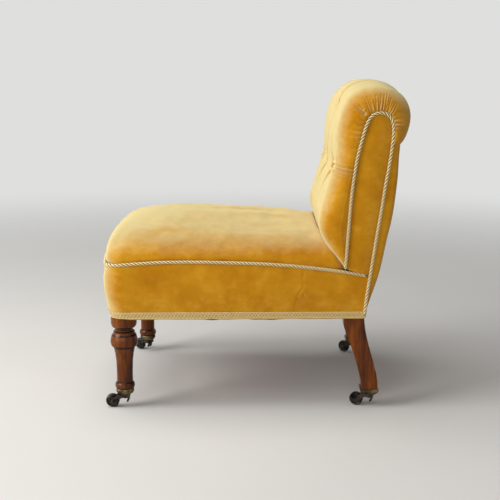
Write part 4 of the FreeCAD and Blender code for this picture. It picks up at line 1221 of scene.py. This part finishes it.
def mix_shader(tree, factor, a, b):
    """Mix of two shaders."""
    node = add(tree, "MixShader")
    for socket, value in zip(node.inputs, (factor, a, b)):
        give(tree, socket, value)
    return node.outputs[0]


def show(tree, shader):
    """Makes a shader the surface of its material."""
    tree.links.new(shader, tree.nodes["Material Output"].inputs["Surface"])


def bump(tree, shader, height, distance, strength=1.0):
    """Relief of the surface, on top of any relief that it has."""
    node = add(tree, "Bump", Height=height, Distance=distance, Strength=strength)
    normal = shader.inputs["Normal"]
    if normal.links:
        tree.links.new(normal.links[0].from_socket, node.inputs["Normal"])
    tree.links.new(node.outputs["Normal"], normal)
    return node.outputs["Normal"]


# direction the window light comes from: the painted sheen is strongest on surfaces turned towards it and
# weak on the shaded rear
SHEEN_LIGHT_FROM = (0.0, -0.62, 0.78)


def painted_sheen_share(tree, place, strokes):
    """Share of painted sheen, a pale colour mixed in: more where the pile is seen edge on and where the
    surface faces the window light.
    """
    edge_on = add(tree, "LayerWeight", Blend=0.5).outputs["Facing"]
    sheen_amount = operate(tree, "MULTIPLY_ADD", strokes, 0.36, edge_on)
    share = add(tree, "MapRange", Value=sheen_amount, From_Min=0.23, From_Max=0.88, To_Max=0.76)
    # painted light: the pale sheen is kept to the side turned towards the window
    facing = operate(tree, "DOT_PRODUCT", place.node.outputs["Normal"], SHEEN_LIGHT_FROM, kind="VectorMath")
    lit_side = add(tree, "MapRange", {"interpolation_type": "SMOOTHSTEP"}, Value=facing,
                   From_Min=-0.5, From_Max=0.25, To_Min=0.12)
    return operate(tree, "MULTIPLY", share.outputs["Result"], lit_side.outputs["Result"])


def velvet_material():
    """Gold cotton velvet: short pile and brushed patches, with a painted sheen of pale colour where it is
    seen edge on and faces the light.
    """
    material, tree, shader, place = new_material("gold_velvet")
    patches = noise(tree, place, 12.0, 5.0, 0.6)
    strokes = noise(tree, stretched(tree, place, 20, 20, 30), 2.0, 5.0, 0.65)
    gold = ramp(tree, patches,
                (0.34, rgb(194, 127, 9)), (0.5, rgb(205, 140, 17)), (0.66, rgb(215, 153, 30)))
    brushed = ramp(tree, strokes, (0.3, grey(0.84)), (0.7, grey(1.0)))
    settle(tree, shader, Base_Color=mix(tree, 1.0, gold, brushed, "MULTIPLY"), Roughness=0.95,
           Specular_IOR_Level=0.08, Sheen_Weight=0.25, Sheen_Roughness=0.5, Sheen_Tint=rgb(255, 246, 222))
    bump(tree, shader, noise(tree, place, 1100.0, 2.0), 0.0006, 0.35)
    relief = bump(tree, shader, noise(tree, place, 130.0, 3.0), 0.0012, 0.2)
    # painted sheen: a pale cream layer that stands in for the light on the pile
    painted_sheen = add(tree, "BsdfDiffuse", Color=rgb(221, 212, 160), Roughness=1.0, Normal=relief)
    share = painted_sheen_share(tree, place, strokes)
    show(tree, mix_shader(tree, share, shader.outputs[0], painted_sheen.outputs[0]))
    return material


# heights of the grooves in the turned legs
TURNED_GROOVES = [48, 61.5, 144, 147, 173, 181.5, 186, 191]
GROOVE_WIDTH = 1.8
RIB_STEP = 1.3


def wood_material(name, grooves=()):
    """French-polished mahogany, darker in streaks and in the grooves of its turning."""
    material, tree, shader, place = new_material(name)
    grain = noise(tree, stretched(tree, place, 1.0, 1.0, 0.07), 150.0, 6.0, 0.65)
    flame = noise(tree, stretched(tree, place, 1.0, 1.0, 0.25), 28.0, 4.0, 0.6)
    colour = ramp(tree, flame, (0.3, rgb(60, 24, 3)), (0.5, rgb(112, 53, 3)), (0.72, rgb(150, 82, 8)))
    streak = ramp(tree, grain, (0.36, grey(0.32)), (0.6, grey(1.0)))
    colour = mix(tree, 0.8, colour, streak, "MULTIPLY")
    height = add(tree, "SeparateXYZ", Vector=place).outputs["Z"]
    for z in grooves:
        near = operate(tree, "COMPARE", height, z * MM, GROOVE_WIDTH * MM)
        colour = mix(tree, near, colour, mix(tree, 1.0, colour, grey(0.22), "MULTIPLY"))
    worn = ramp(tree, noise(tree, place, 60.0, 3.0), (0.3, grey(0.16)), (0.7, grey(0.3)))
    settle(tree, shader, Base_Color=colour, Roughness=worn, Specular_IOR_Level=0.2,
           Coat_Weight=0.06, Coat_Roughness=0.08)
    bump(tree, shader, grain, 0.0003, 0.25)
    return material


def beech_material():
    """Sawn beech of the hidden frame."""
    material, tree, shader, place = new_material("beech")
    grain = noise(tree, stretched(tree, place, 0.1, 1.0, 1.0), 90.0, 5.0, 0.6)
    colour = ramp(tree, grain, (0.35, rgb(176, 136, 92)), (0.65, rgb(208, 172, 124)))
    settle(tree, shader, Base_Color=colour, Roughness=0.7)
    bump(tree, shader, grain, 0.0004, 0.4)
    return material


def metal_material(name, clean, tarnish, roughness=0.34, spots=45.0):
    """Old cast metal with darker tarnish and uneven polish."""
    material, tree, shader, place = new_material(name)
    stains = noise(tree, place, spots, 5.0, 0.65)
    colour = ramp(tree, stains, (0.38, tarnish), (0.66, clean))
    polish = ramp(tree, stains, (0.3, grey(roughness + 0.2)), (0.7, grey(roughness)))
    settle(tree, shader, Base_Color=colour, Roughness=polish, Metallic=1.0)
    bump(tree, shader, noise(tree, place, 420.0, 4.0), 0.0004, 0.35)
    return material


def cord_material():
    """Cream laid cord, with painted shade of olive-brown in the grooves between its strands."""
    material, tree, shader, place = new_material("laid_cord")
    thread = noise(tree, place, 900.0, 2.0)
    cream = ramp(tree, thread, (0.35, rgb(226, 202, 136)), (0.65, rgb(250, 234, 182)))
    # painted shade: darker where a point lies deep between the strands
    shade = ramp(tree, stored(tree, "groove"), (0.16, grey(0.0)), (0.5, grey(1.0)))
    settle(tree, shader, Base_Color=mix(tree, shade, cream, rgb(104, 70, 14)), Roughness=0.5,
           Sheen_Weight=0.3, Specular_IOR_Level=0.4)
    bump(tree, shader, thread, 0.0004, 0.5)
    return material


def braid_material():
    """Pale gold woven braid with fine upright ribs and a darker open ground."""
    material, tree, shader, place = new_material("woven_braid")
    turn = operate(tree, "MULTIPLY", stored(tree, "along"), 2 * math.pi / RIB_STEP)
    wave = operate(tree, "SINE", turn)
    ribs = add(tree, "MapRange", Value=wave, From_Min=-1.0).outputs["Result"]
    fleck = noise(tree, place, 420.0, 3.0)
    gold = ramp(tree, fleck, (0.35, rgb(216, 190, 120)), (0.65, rgb(244, 224, 166)))
    ribbed = mix(tree, ribs, gold, mix(tree, 0.3, gold, rgb(150, 116, 54)))
    ground = ramp(tree, stored(tree, "raised"), (0.12, grey(1.0)), (0.6, grey(0.0)))
    settle(tree, shader, Base_Color=mix(tree, ground, ribbed, rgb(184, 146, 74)), Roughness=0.62,
           Sheen_Weight=0.4)
    bump(tree, shader, ribs, 0.0003, 0.5)
    bump(tree, shader, fleck, 0.0003, 0.4)
    return material


def woven_material(name, dark, light, scale):
    """Plain woven cloth such as webbing, canvas or dust cloth."""
    material, tree, shader, place = new_material(name)
    warp, weft = (add(tree, "TexWave", {"bands_direction": axis}, Vector=place, Scale=scale,
                      Distortion=0.6).outputs["Fac"] for axis in "XY")
    weave = mix(tree, 0.5, warp, weft)
    settle(tree, shader, Base_Color=ramp(tree, weave, (0.2, dark), (0.8, light)), Roughness=0.9)
    bump(tree, shader, weave, 0.0005, 0.5)
    return material


def stuffing_material():
    """Curled hair and wadding."""
    material, tree, shader, place = new_material("stuffing")
    hair = noise(tree, place, 260.0, 8.0, 0.7)
    colour = ramp(tree, hair, (0.35, rgb(70, 56, 44)), (0.7, rgb(150, 132, 108)))
    settle(tree, shader, Base_Color=colour, Roughness=1.0)
    bump(tree, shader, hair, 0.003, 0.8)
    return material


def paint_cad_nodes(velvet):
    """Finishes of the CAD nodes that stay."""
    steel = metal_material("spring_steel", rgb(170, 150, 128), rgb(96, 74, 58), 0.35)
    finishes = {
        "mahogany": wood_material("mahogany"), "beech": beech_material(),
        "jute": woven_material("jute", rgb(132, 104, 66), rgb(178, 146, 98), 160.0),
        "spring_steel": steel, "screw_steel": steel, "stuffing": stuffing_material(),
        "velvet": velvet,
        "castor_brass": metal_material("tarnished_brass", rgb(128, 112, 76), rgb(36, 30, 24)),
        "castor_iron": metal_material("bronzed_iron", rgb(92, 80, 74), rgb(26, 21, 24), spots=70.0),
        "castor_wheel": metal_material("dark_wheel", rgb(74, 74, 68), rgb(18, 19, 18), spots=80.0),
    }
    turned = wood_material("turned_mahogany", TURNED_GROOVES)
    for part in frame["record"]["subparts"]:
        name, slot = part["node"], part["material_slot"]
        if slot in finishes:
            materials = frame["nodes"][name].data.materials
            materials.clear()
            materials.append(turned if name.startswith("front_leg_") else finishes[slot])


# Stage, light and camera


FLOOR_SIZE = 4.0
FLOOR_SOLID = 0.9
SURROUND = rgb(223, 223, 221)
LIT_POINT = (0.0, 0.0, 0.4)
# name, place, size, power and colour
LAMPS = [
    ("window", (1.2, -2.8, 1.7), (2.0, 2.0), 82.0, (1.0, 0.98, 0.95)),
    ("overhead", (0.0, -0.9, 3.2), (2.6, 2.6), 46.0, (1.0, 0.99, 0.98)),
    ("fill", (3.6, -0.6, 1.6), (2.4, 2.0), 34.0, (1.0, 0.99, 0.98)),
]


def stage_floor():
    """Plain pale floor that fades into the surround."""
    bm = bmesh.new()
    bmesh.ops.create_grid(bm, x_segments=8, y_segments=8, size=FLOOR_SIZE)
    mesh = bpy.data.meshes.new("floor")
    bm.to_mesh(mesh)
    bm.free()
    obj = bpy.data.objects.new("floor", mesh)
    bpy.context.scene.collection.objects.link(obj)
    material, tree, shader, place = new_material("pale_floor")
    tone = ramp(tree, noise(tree, place, 1.5, 2.0), (0.3, rgb(222, 221, 218)), (0.7, rgb(226, 225, 222)))
    settle(tree, shader, Base_Color=tone, Roughness=0.9, Specular_IOR_Level=0.05)
    away = operate(tree, "LENGTH", place, kind="VectorMath")
    fade = add(tree, "MapRange", {"interpolation_type": "SMOOTHSTEP"}, Value=away,
               From_Min=FLOOR_SOLID, From_Max=FLOOR_SIZE).outputs["Result"]
    clear = add(tree, "BsdfTransparent").outputs[0]
    show(tree, mix_shader(tree, fade, shader.outputs[0], clear))
    obj.data.materials.append(material)


def area_light(name, place, size, power, colour):
    """Soft rectangular lamp turned towards the chair."""
    data = bpy.data.lights.new(name, "AREA")
    data.shape = "RECTANGLE"
    data.size, data.size_y = size
    data.energy = power
    data.color = colour
    obj = bpy.data.objects.new(name, data)
    obj.location = place
    aim = Vector(LIT_POINT) - Vector(place)
    obj.rotation_euler = aim.to_track_quat("-Z", "Y").to_euler()
    bpy.context.scene.collection.objects.link(obj)


def lights():
    """Window light from the front, soft light from above and an even pale surround."""
    for lamp in LAMPS:
        area_light(*lamp)
    world = bpy.data.worlds.new("surround")
    bpy.context.scene.world = world
    world.use_nodes = True
    tree = world.node_tree
    tree.nodes.clear()
    lit = add(tree, "Background", Color=grey(0.9), Strength=0.22).outputs[0]
    seen = add(tree, "Background", Color=SURROUND, Strength=1.0).outputs[0]
    rays = add(tree, "LightPath").outputs
    direct = rays["Is Camera Ray"]
    for ray in ("Is Glossy Ray", "Is Transmission Ray"):
        direct = operate(tree, "MAXIMUM", direct, rays[ray])
    add(tree, "OutputWorld", Surface=mix_shader(tree, direct, lit, seen))


CAMERA_PLACE = (2.42433, 0.02593, 0.78218)
CAMERA_PITCH = 0.18617
CAMERA_YAW = -0.01356
CAMERA_ROLL = 0.002
CAMERA_LENS = 72.0
CAMERA_SENSOR = 36.0


def camera():
    """Camera at the photograph's place, looking along -X and a little down."""
    data = bpy.data.cameras.new("camera")
    data.lens = CAMERA_LENS
    data.sensor_width = CAMERA_SENSOR
    obj = bpy.data.objects.new("camera", data)
    bpy.context.scene.collection.objects.link(obj)
    heading = Matrix.Rotation(math.pi / 2 - CAMERA_YAW, 4, "Z")
    pitch = Matrix.Rotation(math.pi / 2 - CAMERA_PITCH, 4, "X")
    roll = Matrix.Rotation(CAMERA_ROLL, 4, "Z")
    obj.matrix_world = Matrix.Translation(CAMERA_PLACE) @ heading @ pitch @ roll
    bpy.context.scene.camera = obj


def dress():
    """Covers and trimmings over the frame."""
    velvet = velvet_material()
    buttons(back_pad(velvet), velvet)
    seat_cushion(velvet)
    seat_border(velvet)
    side_facings(velvet)
    outside_back(velvet)
    cream = cord_material()
    rope("seat_rope", seat_cord_path(), cream, "seat_cord", UP)
    path = facing_cord_path()
    rope("facing_rope_left", path, cream, "facing_cord_left", LEFT, 0.4)
    rope("facing_rope_right", path * (-1, 1, 1), cream, "facing_cord_right", LEFT, 1.1)
    braid(braid_material())
    bottoming(woven_material("dust_cloth", rgb(92, 44, 22), rgb(128, 66, 34), 420.0))
    paint_cad_nodes(velvet)


camera()
lights()
stage_floor()
dress()
bpy.context.scene.view_settings.view_transform = "Standard"
